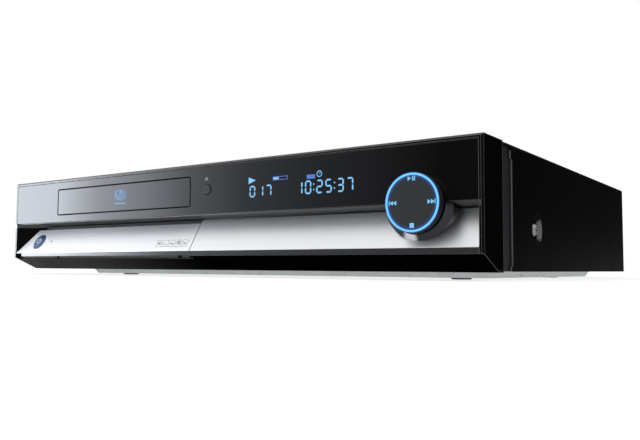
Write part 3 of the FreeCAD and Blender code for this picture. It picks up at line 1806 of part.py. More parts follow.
def flat_cables():
    """Two ribbon cables: front board to main board, and drive to main board."""
    board_top = main_board_low + board_sheet
    start = front_board_y + board_sheet
    t = cable_sheet
    front_path = [
        (start, front_cable_z),
        (front_cable_bend, front_cable_z),
        (front_cable_end, board_top),
        (front_cable_end + t, board_top),
        (front_cable_bend + t, front_cable_z + t),
        (start, front_cable_z + t),
    ]
    front_cable = prism_x(front_path, (front_cable_x, front_cable_x + cable_width))
    side = drive_x + loader_outer
    drive_path = [
        (side, drive_cable_z),
        (drive_cable_end - 8, drive_cable_z),
        (drive_cable_end, board_top),
        (drive_cable_end + t, board_top),
        (drive_cable_end - 8 + t, drive_cable_z + t),
        (side, drive_cable_z + t),
    ]
    drive_cable = prism_y(drive_path, (drive_cable_y, drive_cable_y + cable_width))
    return [front_cable, drive_cable]


def jack_block(x, z, width, height, front, back):
    """Block centred on an X and a Z between two Y values."""
    return box((x - width / 2, x + width / 2), (front, back), (z - height / 2, z + height / 2))


def phono_places():
    """(x, z) of each phono jack."""
    return [
        (phono_first_x + column * phono_pitch_x, phono_first_z + row * phono_pitch_z)
        for column in range(phono_columns)
        for row in range(phono_rows)
    ]


def digital_places():
    """(x, z) of the optical and the coaxial jack."""
    return [(digital_x, phono_first_z), (digital_x + digital_pitch, phono_first_z)]


def video_jack_z():
    """Height of the video socket's middle over its board."""
    return main_board_low + board_sheet + video_jack_lift + video_jack_height / 2


def rear_panel():
    """Steel rear panel with its cut-outs."""
    edge = cover_inside - seat_gap
    y = (rear_panel_y, rear_panel_y + rear_panel_sheet)
    sheet = box((-edge, edge), y, (cover_lift, rear_panel_top))
    through = (y[0] - 1, y[1] + 1)
    grow = 2 * cutout_gap
    cuts = [
        jack_block(inlet_x, inlet_z, inlet_width + grow, inlet_height + grow, *through),
        jack_block(
            video_jack_x, video_jack_z(), video_jack_width + grow, video_jack_height + grow, *through
        ),
    ]
    for x, z in phono_places():
        cuts.append(rod(phono_radius + cutout_gap, (x, through[0], z), 3, "y"))
    for x, z in digital_places():
        cuts.append(jack_block(x, z, digital_size + grow, digital_size + grow, *through))
    count = int(2 * grille_radius / grille_pitch)
    for number in range(count):
        x = fan_x + (number - (count - 1) / 2) * grille_pitch
        half = math.sqrt(grille_radius**2 - (abs(x - fan_x) + grille_slot / 2) ** 2)
        cuts.append(jack_block(x, fan_z, grille_slot, 2 * half, *through))
    for x in rear_screw_places:
        cuts.append(rod(rear_screw_radius + screw_fit, (x, through[0], rear_screw_z), 3, "y"))
    return sheet.cut(Part.makeCompound(cuts))


def mains_inlet():
    """Two-pin mains inlet."""
    face = rear_panel_y + rear_panel_sheet + inlet_proud
    body = jack_block(inlet_x, inlet_z, inlet_width, inlet_height, face - inlet_depth, face)
    socket = jack_block(
        inlet_x, inlet_z, inlet_socket_width, inlet_socket_height, face - inlet_socket_depth, face + 1
    )
    body = body.cut(socket)
    pins = [
        rod(
            inlet_pin_radius,
            (inlet_x + side * inlet_pin_spacing / 2, face - inlet_socket_depth - 1, inlet_z),
            10,
            "y",
        )
        for side in (-1, 1)
    ]
    leg = box(
        (inlet_x - inlet_width / 2, inlet_x + inlet_width / 2),
        (face - inlet_depth, face - inlet_depth + 6),
        (pan_floor, inlet_z),
    )
    return fused([body, leg] + pins)


def fan_frame():
    """Square fan frame with its bore, struts and pin."""
    back = rear_panel_y - seat_gap
    front = back - fan_depth
    body = jack_block(fan_x, fan_z, fan_size, fan_size, front, back)
    body = body.cut(rod(fan_bore, (fan_x, front - 1, fan_z), fan_depth + 2, "y"))
    struts = [
        jack_block(fan_x, fan_z, 2 * fan_bore + 1, fan_strut, front, front + fan_plate),
        jack_block(fan_x, fan_z, fan_strut, 2 * fan_bore + 1, front, front + fan_plate),
    ]
    plate = rod(fan_hub_radius, (fan_x, front, fan_z), fan_plate, "y")
    pin = rod(fan_pin_radius, (fan_x, front, fan_z), fan_pin_length, "y")
    foot_x = (fan_x - fan_foot / 2, fan_x + fan_foot / 2)
    foot = box(foot_x, (front, front + fan_foot_depth), (pan_floor, fan_z - fan_size / 2))
    return fused([body, plate, pin, foot] + struts)


def fan_rotor():
    """Fan hub with its blades."""
    back = rear_panel_y - seat_gap
    front = back - fan_depth + fan_plate + 2 * seat_gap
    length = back - 3 * seat_gap - front
    hub = rod(fan_hub_radius, (fan_x, front, fan_z), length, "y")
    parts = [hub]
    for number in range(fan_blade_count):
        blade_y = front + length / 2
        half_sheet = fan_blade_sheet / 2
        blade = box((0, fan_blade_reach), (-length / 2.4, length / 2.4), (-half_sheet, half_sheet))
        blade.rotate(Vector(0, 0, 0), AXES["x"], fan_blade_pitch)
        blade.rotate(Vector(0, 0, 0), AXES["y"], 360.0 * number / fan_blade_count)
        blade.translate(Vector(fan_x, blade_y, fan_z))
        parts.append(blade)
    body = fused(parts)
    keep = rod(fan_blade_reach, (fan_x, front, fan_z), length, "y")
    bore = rod(fan_pin_radius + fan_pin_fit, (fan_x, front - 1, fan_z), fan_pin_length, "y")
    return body.common(keep).cut(bore)


def video_jack():
    """Flat digital video socket on the main board."""
    face = rear_panel_y + rear_panel_sheet + video_jack_proud
    z = video_jack_z()
    shell = jack_block(video_jack_x, z, video_jack_width, video_jack_height, face - video_jack_length, face)
    hollow = jack_block(
        video_jack_x,
        z,
        video_jack_width - 2 * video_jack_sheet,
        video_jack_height - 2 * video_jack_sheet,
        face - video_jack_length + 2,
        face + 1,
    )
    tongue_z = z + video_jack_height / 2 - video_tongue_below
    tongue = jack_block(
        video_jack_x, tongue_z, video_tongue_width, video_tongue_sheet, face - video_jack_length, face - 2
    )
    leg = box(
        (video_jack_x - video_tongue_width / 2, video_jack_x + video_tongue_width / 2),
        (face - video_jack_length, face - video_jack_length / 2),
        (main_board_low + board_sheet, z - video_jack_height / 2 + video_jack_sheet / 2),
    )
    return fused([shell.cut(hollow), tongue, leg])


def phono_jacks():
    """Block of phono jacks on the main board."""
    face = rear_panel_y - seat_gap
    reach = rear_panel_y + rear_panel_sheet + phono_reach
    last_x = phono_first_x + (phono_columns - 1) * phono_pitch_x
    x = (phono_first_x - phono_body / 2, last_x + phono_body / 2)
    top = phono_first_z + (phono_rows - 1) * phono_pitch_z + phono_body / 2
    body = box(x, (face - phono_body_depth, face), (main_board_low + board_sheet, top))
    parts = [body]
    for place_x, place_z in phono_places():
        parts.append(rod(phono_radius, (place_x, face - 1, place_z), reach - face + 1, "y"))
    body = fused(parts)
    for place_x, place_z in phono_places():
        body = body.cut(rod(phono_bore, (place_x, reach - 9, place_z), 10, "y"))
    return body


def digital_jacks():
    """Optical and coaxial sockets on the main board."""
    back = rear_panel_y + rear_panel_sheet + digital_proud
    front = back - digital_depth
    solids = []
    for number, (x, z) in enumerate(digital_places()):
        block = jack_block(x, z, digital_size, digital_size, front, back)
        leg_top = z - digital_size / 2 + 0.5
        leg = box((x - 4, x + 4), (front, rear_panel_y - seat_gap), (main_board_low + board_sheet, leg_top))
        if number == 0:
            hole = jack_block(x, z, 6.0, 6.0, back - 5, back + 1)
        else:
            hole = rod(phono_bore, (x, back - 9, z), 10, "y")
        solids.append(block.cut(hole).fuse(leg).removeSplitter())
    return solids


NODES = {
    "top_cover": top_cover,
    "cover_screws": cover_screws,
    "chassis_pan": chassis_pan,
    "feet": feet,
    "side_strips": side_strips,
    "rear_panel": rear_panel,
    "front_frame": front_frame,
    "fascia_panel": fascia_panel,
    "lower_trim": lower_trim,
    "card_door": card_door,
    "card_door_backing": card_door_backing,
    "card_door_pins": card_door_pins,
    "card_bezel": card_bezel,
    "card_reader": card_reader,
    "power_housing": power_housing,
    "power_light_ring": power_light_ring,
    "standby_light": standby_light,
    "power_button": power_button,
    "open_close_button": open_close_button,
    "tact_switches": tact_switches,
    "control_skirt": control_skirt,
    "control_housing": control_housing,
    "control_gimbal": control_gimbal,
    "control_cap": control_cap,
    "control_light_ring": control_light_ring,
    "control_board": control_board,
    "front_board": front_board,
    "display_tube": display_tube,
    "tray_door": tray_door,
    "disc_tray": disc_tray,
    "loader_frame": loader_frame,
    "clamp_bridge": clamp_bridge,
    "clamper": clamper,
    "tray_drive_gear": tray_drive_gear,
    "loading_pulley": loading_pulley,
    "motor_pulley": motor_pulley,
    "loading_belt": loading_belt,
    "loading_motor": loading_motor,
    "traverse": traverse,
    "guide_rails": guide_rails,
    "spindle_motor": spindle_motor,
    "turntable": turntable,
    "pickup_sled": pickup_sled,
    "pickup_lens": pickup_lens,
    "lead_screw": lead_screw,
    "sled_motor": sled_motor,
    "drive_mounts": drive_mounts,
    "main_board": main_board,
    "main_heat_sink": main_heat_sink,
    "power_board": power_board,
    "transformer": transformer,
    "capacitors": capacitors,
    "power_heat_sinks": power_heat_sinks,
    "flat_cables": flat_cables,
    "mains_inlet": mains_inlet,
    "fan_frame": fan_frame,
    "fan_rotor": fan_rotor,
    "video_jack": video_jack,
    "phono_jacks": phono_jacks,
    "digital_jacks": digital_jacks,
}


def solids_of(result):
    """Every solid in what a piece's function gives."""
    shapes = result if isinstance(result, list) else [result]
    return [solid for shape in shapes for solid in shape.Solids]


def write_nodes():
    """Builds each piece, sets the origin under the middle of the whole, and writes it."""
    os.makedirs("parts", exist_ok=True)
    for name, build in NODES.items():
        solids = solids_of(build())
        shape = solids[0] if len(solids) == 1 else Part.makeCompound(solids)
        shape.translate(Vector(0, -middle_y, 0))
        shape.exportStep(os.path.join("parts", name + ".step"))
        size = shape.BoundBox
        print(name, len(solids), "valid" if shape.isValid() else "NOT VALID", round(shape.Volume, 1))
        reach = (size.XMin, size.XMax, size.YMin, size.YMax, size.ZMin, size.ZMax)
        print("   x %.1f %.1f  y %.1f %.1f  z %.1f %.1f" % reach)


write_nodes()
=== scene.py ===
"""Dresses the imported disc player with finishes, markings and lights, in metres, in the frame's own axes."""

import logging
import math
from dataclasses import dataclass, replace
from enum import Enum
from typing import Optional, Sequence, Union

import bmesh
import bpy
from mathutils import Matrix, Vector


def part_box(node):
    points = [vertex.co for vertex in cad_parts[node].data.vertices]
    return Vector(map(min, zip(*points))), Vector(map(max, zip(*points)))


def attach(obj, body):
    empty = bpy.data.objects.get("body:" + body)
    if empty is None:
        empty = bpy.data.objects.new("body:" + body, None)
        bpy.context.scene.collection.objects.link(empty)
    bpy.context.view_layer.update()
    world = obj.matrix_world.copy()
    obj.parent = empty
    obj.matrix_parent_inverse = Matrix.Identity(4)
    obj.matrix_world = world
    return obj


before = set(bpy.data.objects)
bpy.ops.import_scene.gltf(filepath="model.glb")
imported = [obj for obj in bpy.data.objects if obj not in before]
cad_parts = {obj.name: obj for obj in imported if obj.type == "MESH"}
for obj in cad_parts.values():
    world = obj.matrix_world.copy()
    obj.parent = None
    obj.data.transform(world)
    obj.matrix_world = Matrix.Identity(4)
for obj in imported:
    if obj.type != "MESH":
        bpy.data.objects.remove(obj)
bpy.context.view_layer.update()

log = logging.getLogger("disc_player")

Socket = bpy.types.NodeSocket
Sockets = bpy.types.bpy_prop_collection
Feed = Union[float, Sequence[float], Socket]
Point = tuple[float, float]
Triple = tuple[float, float, float]

SLOPE_ANGLE = math.radians(60)
RIGHTWARDS = Vector((1, 0, 0))
UPRIGHT = Vector((0, 0, 1))
UP_THE_SLOPE = Vector((0, math.cos(SLOPE_ANGLE), math.sin(SLOPE_ANGLE)))

ORIGIN = (0.0, 0.0, 0.0)
AHEAD = (0.0, -1.0, 0.0)
DOWN = (0.0, 0.0, -1.0)
TO_THE_RIGHT = (1.0, 0.0, 0.0)
ROUND_Y = (1.0, 0.0, 1.0)
ROUND_Z = (1.0, 1.0, 0.0)
LONG_IN_X = (0.012, 1.0, 1.0)
BLACK = (0.0, 0.0, 0.0)
WHITE = (1.0, 1.0, 1.0)


def tint(red: int, green: int, blue: int) -> Triple:
    """Turns a colour as a screen shows it, from 0 to 255, into the linear values that a shader takes."""
    shown = [part / 255 for part in (red, green, blue)]
    return tuple(part / 12.92 if part <= 0.04045 else ((part + 0.055) / 1.055) ** 2.4 for part in shown)


class Graph:
    """A node tree that takes new nodes together with what feeds them."""

    def __init__(self, tree: bpy.types.NodeTree) -> None:
        """Keeps the tree that the nodes go into."""
        self.tree = tree

    def feed(self, socket: Socket, value: Feed) -> None:
        """Links a socket to another one, or sets its value.

        Args:
            socket: The input to feed.
            value: An output socket, a number or a row of numbers.
        """
        if isinstance(value, bpy.types.NodeSocket):
            self.tree.links.new(value, socket)
        elif hasattr(value, "__len__") and len(value) == 3 and len(socket.default_value) == 4:
            socket.default_value = (*value, 1.0)
        else:
            socket.default_value = value

    def node(self, kind: str, feeds: Optional[dict] = None, **settings: object) -> bpy.types.Node:
        """Adds one node.

        Args:
            kind: The node's type name.
            feeds: What each input takes, by its name or its number.
            settings: The node's own settings.

        Returns:
            The new node.
        """
        node = self.tree.nodes.new(kind)
        for name, value in settings.items():
            setattr(node, name, value)
        for key, value in (feeds or {}).items():
            self.feed(node.inputs[key], value)
        return node

    def math(self, operation: str, first: Feed, second: Feed = 0.0, clamp: bool = False) -> Socket:
        """Adds one sum on numbers, of the operation's name. With clamp it is held between 0 and 1."""
        feeds = {0: first, 1: second}
        return self.node("ShaderNodeMath", feeds, operation=operation, use_clamp=clamp).outputs[0]

    def times(self, first: Feed, second: Feed) -> Socket:
        """Multiplies two numbers."""
        return self.math("MULTIPLY", first, second)

    def weighed(self, first: Socket, share: float, second: Socket) -> Socket:
        """Adds a share of one number to the rest of another."""
        return self.math("ADD", self.times(first, share), self.times(second, round(1 - share, 6)))

    def vector(self, operation: str, first: Feed, second: Feed = ORIGIN) -> Sockets:
        """Adds one sum on vectors. Returns its outputs, because some sums put out a number."""
        return self.node("ShaderNodeVectorMath", {0: first, 1: second}, operation=operation).outputs

    def part(self, value: Socket, axis: int) -> Socket:
        """Returns one of a vector's three numbers."""
        return self.node("ShaderNodeSeparateXYZ", {0: value}).outputs[axis]

    def blend(self, share: Feed, first: Feed, second: Feed) -> Socket:
        """Mixes two colours. The share is that of the second."""
        return self.node("ShaderNodeMix", {0: share, 6: first, 7: second}, data_type="RGBA").outputs[2]

    def between(self, share: Feed, first: Feed, second: Feed) -> Socket:
        """Mixes two numbers. The share is that of the second."""
        return self.node("ShaderNodeMix", {0: share, 2: first, 3: second}, data_type="FLOAT").outputs[0]

    def spread(self, value: Feed, low: float, high: float, start: float = 0.0, end: float = 1.0) -> Socket:
        """Turns the span of a number from low to high smoothly into the span from start to end."""
        feeds = {"Value": value, "From Min": low, "From Max": high, "To Min": start, "To Max": end}
        return self.node("ShaderNodeMapRange", feeds, interpolation_type="SMOOTHSTEP").outputs[0]

    def noise(self, place: Feed, scale: Feed, detail: float = 2.0, roughness: float = 0.5) -> Socket:
        """Adds noise of scale grains in a metre, with finer layers as detail and roughness say."""
        feeds = {"Vector": place, "Scale": scale, "Detail": detail, "Roughness": roughness}
        return self.node("ShaderNodeTexNoise", feeds).outputs[0]

    def cells(self, place: Feed, scale: Feed, output: str, **settings: str) -> Socket:
        """Adds a pattern of cells. Returns the output of that name."""
        feeds = {"Vector": place, "Scale": scale}
        return self.node("ShaderNodeTexVoronoi", feeds, **settings).outputs[output]


class Pattern(Enum):
    """The surface patterns that the finishes choose from. Each is a node group's name."""

    GRAIN = "moulded_grain"
    BRUSHED = "brushed_lines"
    SPANGLE = "zinc_spangle"
    TURNED = "turned_rings"
    TRACKS = "copper_tracks"
    WIRES = "side_by_side_wires"


class Effects:
    """The node groups that the materials share, each built when it is first asked for."""

    def __init__(self) -> None:
        """Starts with no group built."""
        self.built: dict[str, bpy.types.NodeTree] = {}

    def group(self, name: str) -> bpy.types.NodeTree:
        """Gives the group of that name, and builds it the first time."""
        if name not in self.built:
            getattr(self, name)()
        return self.built[name]

    def begin(self, name: str, **inputs: Union[float, Triple]) -> tuple[Graph, Sockets]:
        """Opens a new group.

        Args:
            name: The group's name.
            inputs: Each input's value if nothing feeds it. A vector has three numbers.

        Returns:
            The group's graph and the sockets of its inputs.
        """
        tree = bpy.data.node_groups.new(name, "ShaderNodeTree")
        for label, value in inputs.items():
            kind = "NodeSocketFloat" if isinstance(value, float) else "NodeSocketVector"
            socket = tree.interface.new_socket(name=label, in_out="INPUT", socket_type=kind)
            socket.default_value = value
        self.built[name] = tree
        graph = Graph(tree)
        return graph, graph.node("NodeGroupInput").outputs

    def end(self, graph: Graph, **outputs: Socket) -> None:
        """Closes a group.

        Args:
            graph: The group's graph.
            outputs: The sockets that it puts out.
        """
        for label, socket in outputs.items():
            kind = "NodeSocketVector" if socket.type == "VECTOR" else "NodeSocketFloat"
            graph.tree.interface.new_socket(name=label, in_out="OUTPUT", socket_type=kind)
        graph.node("NodeGroupOutput", outputs)

    def moulded_grain(self) -> None:
        """Builds the fine pebble of moulded plastic or baked paint, with a slow change of tone."""
        graph, entry = self.begin("moulded_grain", Place=ORIGIN, Scale=900.0)
        fine = graph.noise(entry["Place"], entry["Scale"], roughness=0.6)
        slow = graph.noise(entry["Place"], graph.times(entry["Scale"], 0.02), detail=3.0)
        self.end(graph, Tone=graph.weighed(fine, 0.35, slow), Height=fine)

    def brushed_lines(self) -> None:
        """Builds the long fine scratches of brushed metal, which run across the object's width."""
        graph, entry = self.begin("brushed_lines", Place=ORIGIN, Scale=900.0)
        stretched = graph.vector("MULTIPLY", entry["Place"], LONG_IN_X)[0]
        fine = graph.noise(stretched, graph.times(entry["Scale"], 3.0), detail=3.0, roughness=0.7)
        broad = graph.noise(stretched, graph.times(entry["Scale"], 0.4))
        self.end(graph, Tone=graph.weighed(fine, 0.6, broad), Height=fine)

    def zinc_spangle(self) -> None:
        """Builds the flat crystals of zinc on steel sheet."""
        graph, entry = self.begin("zinc_spangle", Place=ORIGIN, Scale=150.0)
        crystals = graph.part(graph.cells(entry["Place"], entry["Scale"], "Color"), 0)
        fine = graph.noise(entry["Place"], graph.times(entry["Scale"], 8.0))
        self.end(graph, Tone=graph.weighed(crystals, 0.7, fine), Height=fine)

    def radius(self, graph: Graph, entry: Sockets) -> Socket:
        """Returns the distance from the axis through Centre. Across is 0 along that axis."""
        offset = graph.vector("SUBTRACT", entry["Place"], entry["Centre"])[0]
        return graph.vector("LENGTH", graph.vector("MULTIPLY", offset, entry["Across"])[0])["Value"]

    def turned_rings(self) -> None:
        """Builds the rings that a lathe or a mould leaves round an axis."""
        graph, entry = self.begin("turned_rings", Place=ORIGIN, Centre=ORIGIN, Across=ROUND_Y, Scale=900.0)
        along = graph.node("ShaderNodeCombineXYZ", {0: self.radius(graph, entry)}).outputs[0]
        rings = graph.noise(along, entry["Scale"], detail=3.0, roughness=0.7)
        self.end(graph, Tone=rings, Height=rings)

    def copper_tracks(self) -> None:
        """Builds the tracks and pads of a circuit board under its lacquer."""
        graph, entry = self.begin("copper_tracks", Place=ORIGIN, Scale=200.0)
        centres = graph.cells(entry["Place"], entry["Scale"], "Distance", distance="CHEBYCHEV")
        edges = graph.cells(entry["Place"], entry["Scale"], "Distance", feature="DISTANCE_TO_EDGE")
        pads = graph.spread(centres, low=0.10, high=0.14, start=1.0, end=0.0)
        tracks = graph.spread(edges, low=0.05, high=0.08, start=0.6, end=0.0)
        pattern = graph.math("MAXIMUM", pads, tracks)
        self.end(graph, Tone=pattern, Height=pattern)

    def side_by_side_wires(self) -> None:
        """Builds the ribs of a flat cable, one for each wire, which run along its length."""
        graph, entry = self.begin("side_by_side_wires", Place=ORIGIN, Scale=1000.0)
        angle = graph.times(graph.part(entry["Place"], 0), graph.times(entry["Scale"], math.tau))
        ribs = graph.math("ADD", graph.times(graph.math("SINE", angle), 0.5), 0.5)
        self.end(graph, Tone=ribs, Height=ribs)

    def rounded_edge(self) -> None:
        """Builds the small round that a real edge has, and a mask that lies along the edge."""
        graph, entry = self.begin("rounded_edge", Radius=0.0003)
        rounded = graph.node("ShaderNodeBevel", {"Radius": entry["Radius"]}, samples=6).outputs[0]
        plain = graph.node("ShaderNodeNewGeometry").outputs["True Normal"]
        turn = graph.vector("DOT_PRODUCT", rounded, plain)["Value"]
        self.end(graph, Normal=rounded, Edge=graph.spread(turn, low=0.985, high=0.90))

    def handling_marks(self) -> None:
        """Builds the faint wiped patches and specks that handling leaves on a surface."""
        graph, entry = self.begin("handling_marks", Place=ORIGIN, Amount=0.05)
        cloud = graph.noise(entry["Place"], scale=22.0, detail=4.0, roughness=0.6)
        wiped = graph.spread(cloud, low=0.45, high=0.75)
        specks = graph.spread(graph.noise(entry["Place"], scale=900.0, detail=1.0), low=0.70, high=0.80)
        both = graph.math("ADD", wiped, graph.times(specks, 0.5))
        self.end(graph, Mark=graph.times(both, entry["Amount"]))

    def settled_dust(self) -> None:
        """Builds a thin mask of dust on faces that look up."""
        graph, entry = self.begin("settled_dust", Place=ORIGIN, Amount=0.1)
        upward = graph.part(graph.node("ShaderNodeNewGeometry").outputs["Normal"], 2)
        cloud = graph.noise(entry["Place"], scale=420.0, detail=3.0, roughness=0.7)
        motes = graph.spread(cloud, low=0.35, high=0.75)
        dust = graph.times(graph.spread(upward, low=0.6, high=1.0), motes)
        self.end(graph, Dust=graph.times(dust, entry["Amount"]))

    def facing(self) -> None:
        """Builds a mask of the faces that look one way, and one of what lies above a height."""
        graph, entry = self.begin("facing", Place=ORIGIN, Way=DOWN, Level=0.03)
        normal = graph.node("ShaderNodeNewGeometry").outputs["True Normal"]
        turn = graph.vector("DOT_PRODUCT", normal, entry["Way"])["Value"]
        above = graph.math("GREATER_THAN", graph.part(entry["Place"], 2), entry["Level"])
        self.end(graph, Faces=graph.spread(turn, low=0.80, high=0.90), Above=above, Turn=turn)

    def ring_band(self) -> None:
        """Builds a mask that grows from an inner to an outer distance round an axis."""
        graph, entry = self.begin(
            "ring_band", Place=ORIGIN, Centre=ORIGIN, Across=ROUND_Y, Inner=0.01, Outer=0.02)
        grown = graph.math("SUBTRACT", self.radius(graph, entry), entry["Inner"])
        width = graph.math("SUBTRACT", entry["Outer"], entry["Inner"])
        share = graph.math("DIVIDE", grown, width, clamp=True)
        self.end(graph, Band=graph.math("POWER", share, 2.0))


@dataclass
class Surface:
    """A material while it is built: its graph, the shared groups, its shader and the place on the object."""

    graph: Graph
    effects: Effects
    shader: bpy.types.Node
    place: Socket

    def set(self, name: str, value: Feed) -> None:
        """Feeds one of the shader's inputs."""
        self.graph.feed(self.shader.inputs[name], value)

    def colour(self) -> Socket:
        """Returns what feeds the shader's colour so far."""
        return self.shader.inputs["Base Color"].links[0].from_socket

    def effect(self, name: str, **feeds: Feed) -> Sockets:
        """Places a shared group, with this surface's own values.

        Args:
            name: The group's name.
            feeds: What its inputs take. Those that it doesn't have are passed over.

        Returns:
            The group's outputs.
        """
        node = self.graph.node("ShaderNodeGroup", node_tree=self.effects.group(name))
        for key, value in {"Place": self.place, **feeds}.items():
            if key in node.inputs:
                self.graph.feed(node.inputs[key], value)
        return node.outputs


COAT_ROUGHNESS = 0.04
DUST_GREY = tint(128, 124, 118)


@dataclass(frozen=True)
class Finish:
    """One surface finish: its colour, its gloss, and the pattern, marks and edges that vary them, with
    painted light and shade along the edges.
    """

    name: str
    base: Triple
    roughness: float
    metallic: float = 0.0
    specular: float = 0.5
    coat: float = 0.0
    pattern: Pattern = Pattern.GRAIN
    scale: float = 900.0
    relief: float = 0.05
    relief_depth: float = 0.00002
    tone: float = 0.12
    other_base: Optional[Triple] = None
    uneven: float = 0.04
    marks: float = 0.05
    edge_radius: float = 0.00025
    # Edge weight and colour: a painted highlight along the edges of dark finishes, and painted shade along
    # those of light ones.
    painted_edge_shading: float = 0.0
    painted_edge_colour: Triple = (0.10, 0.10, 0.105)
    dust: float = 0.0
    centre: Triple = ORIGIN
    across: Triple = ROUND_Y

    def tones(self) -> tuple[Triple, Triple]:
        """Returns the colours that the pattern runs between."""
        if self.other_base:
            return self.base, self.other_base
        return tuple(tuple(part * share for part in self.base) for share in (1 - self.tone, 1 + self.tone))

    def shade(self, surface: Surface) -> None:
        """Feeds the shader's colour, roughness and normal.

        Args:
            surface: The material that is built.
        """
        graph = surface.graph
        pattern = surface.effect(self.pattern.value, Scale=self.scale, Centre=self.centre, Across=self.across)
        marks = surface.effect("handling_marks", Amount=self.marks)["Mark"]
        edge = surface.effect("rounded_edge", Radius=self.edge_radius)
        colour = graph.blend(pattern["Tone"], *self.tones())
        # Painted edge light and shade: along the rounded edges the colour is pulled towards the edge colour.
        if self.painted_edge_shading:
            colour = graph.blend(graph.times(edge["Edge"], self.painted_edge_shading), colour, self.painted_edge_colour)
        if self.dust:
            dust = surface.effect("settled_dust", Amount=self.dust)["Dust"]
            colour = graph.blend(dust, colour, DUST_GREY)
        surface.set("Base Color", colour)
        uneven = graph.math("ADD", graph.times(pattern["Tone"], self.uneven), marks)
        surface.set("Roughness", graph.math("ADD", uneven, self.roughness, clamp=True))
        feeds = {"Height": pattern["Height"], "Strength": self.relief,
                 "Distance": self.relief_depth, "Normal": edge["Normal"]}
        surface.set("Normal", graph.node("ShaderNodeBump", feeds).outputs[0])

    def add_to(self, surface: Surface) -> None:
        """Adds nothing here. A finish with light or glass in it adds that."""

    def build(self, effects: Effects) -> bpy.types.Material:
        """Builds the material.

        Args:
            effects: The shared node groups.

        Returns:
            The new material.
        """
        material = bpy.data.materials.new(self.name)
        material.use_nodes = True
        material.node_tree.nodes.clear()
        graph = Graph(material.node_tree)
        constants = {"Metallic": self.metallic, "Specular IOR Level": self.specular,
                     "Coat Weight": self.coat, "Coat Roughness": COAT_ROUGHNESS}
        shader = graph.node("ShaderNodeBsdfPrincipled", constants)
        graph.node("ShaderNodeOutputMaterial", {"Surface": shader.outputs[0]})
        surface = Surface(graph, effects, shader, graph.node("ShaderNodeTexCoord").outputs["Object"])
        self.shade(surface)
        self.add_to(surface)
        material.diffuse_color = (*self.base, 1.0)
        return material


@dataclass(frozen=True)
class Glow(Finish):
    """A finish that gives light, a little uneven as a lamp behind plastic is."""

    light: Triple = WHITE
    strength: float = 1.0
    dimmest: float = 0.86
    patches: float = 260.0

    def add_to(self, surface: Surface) -> None:
        """Feeds the shader's own light.

        Args:
            surface: The material that is built.
        """
        graph = surface.graph
        dim = tuple(part * self.dimmest for part in self.light)
        surface.set("Emission Color", graph.blend(graph.noise(surface.place, self.patches), dim, self.light))
        surface.set("Emission Strength", self.strength)


@dataclass(frozen=True)
class EdgeLit(Finish):
    """A dark face with a painted glow that grows from its edge inwards, standing in for the light of the ring
    round it.
    """

    light: Triple = BLACK
    strength: float = 1.0
    inner: float = 0.012
    outer: float = 0.016

    def add_to(self, surface: Surface) -> None:
        """Feeds the painted glow that grows towards the rim.

        Args:
            surface: The material that is built.
        """
        band = surface.effect(
            "ring_band", Centre=self.centre, Across=self.across, Inner=self.inner, Outer=self.outer)["Band"]
        # Painted glow: the face's own emission, on its front near the rim, stands in for the ring's light
        # falling on it.
        lit = surface.graph.times(band, surface.effect("facing", Way=AHEAD)["Faces"])
        surface.set("Emission Color", surface.graph.blend(lit, BLACK, self.light))
        surface.set("Emission Strength", self.strength)


@dataclass(frozen=True)
class GlossMoulding(Finish):
    """A glossy black moulding, duller below and at the sides, with painted light on its ceiling and a painted
    highlight along a strip of its front.
    """

    ceiling_gloss: float = 0.45
    chin_gloss: float = 0.17
    chin_span: Point = (-0.16, 0.02)
    side_gloss: float = 0.06
    level: float = 0.03
    # Painted light: the grey that the ceiling is painted, where the moulding itself is black.
    painted_ceiling_light: Triple = (0.15, 0.155, 0.16)
    strip_low: float = 0.0395
    strip_high: float = 0.0427
    # Painted highlight along the strip: bright at the left, dark at the right.
    painted_highlight_span: Point = (-0.03, 0.13)
    painted_highlight_left: Triple = (0.62, 0.64, 0.66)
    painted_highlight_right: Triple = (0.09, 0.093, 0.096)

    def add_to(self, surface: Surface) -> None:
        """Feeds the weight of the polish, paints light onto the ceiling, and paints a highlight, brighter at
        the left, onto the strip.

        Args:
            surface: The material that is built.
        """
        graph = surface.graph
        across, height = graph.part(surface.place, 0), graph.part(surface.place, 2)
        down = surface.effect("facing", Way=DOWN, Level=self.level)
        side = surface.effect("facing", Way=TO_THE_RIGHT)["Faces"]
        ahead = surface.effect("facing", Way=AHEAD)["Faces"]
        chin = graph.spread(across, *self.chin_span, self.chin_gloss, 0.0)
        gloss = graph.between(down["Faces"], 1.0, graph.between(down["Above"], chin, self.ceiling_gloss))
        surface.set("Coat Weight", graph.between(side, gloss, self.side_gloss))
        # Painted light: the faces that look down, above the level, are painted grey.
        ceiling = graph.times(down["Faces"], down["Above"])
        colour = graph.blend(ceiling, surface.colour(), self.painted_ceiling_light)
        # Painted highlight: front faces between the strip's heights are painted light, fading from left to
        # right.
        strip = graph.times(graph.math("GREATER_THAN", height, self.strip_low),
                            graph.math("LESS_THAN", height, self.strip_high))
        lit = graph.blend(graph.spread(across, *self.painted_highlight_span), self.painted_highlight_left, self.painted_highlight_right)
        surface.set("Base Color", graph.blend(graph.times(ahead, strip), colour, lit))


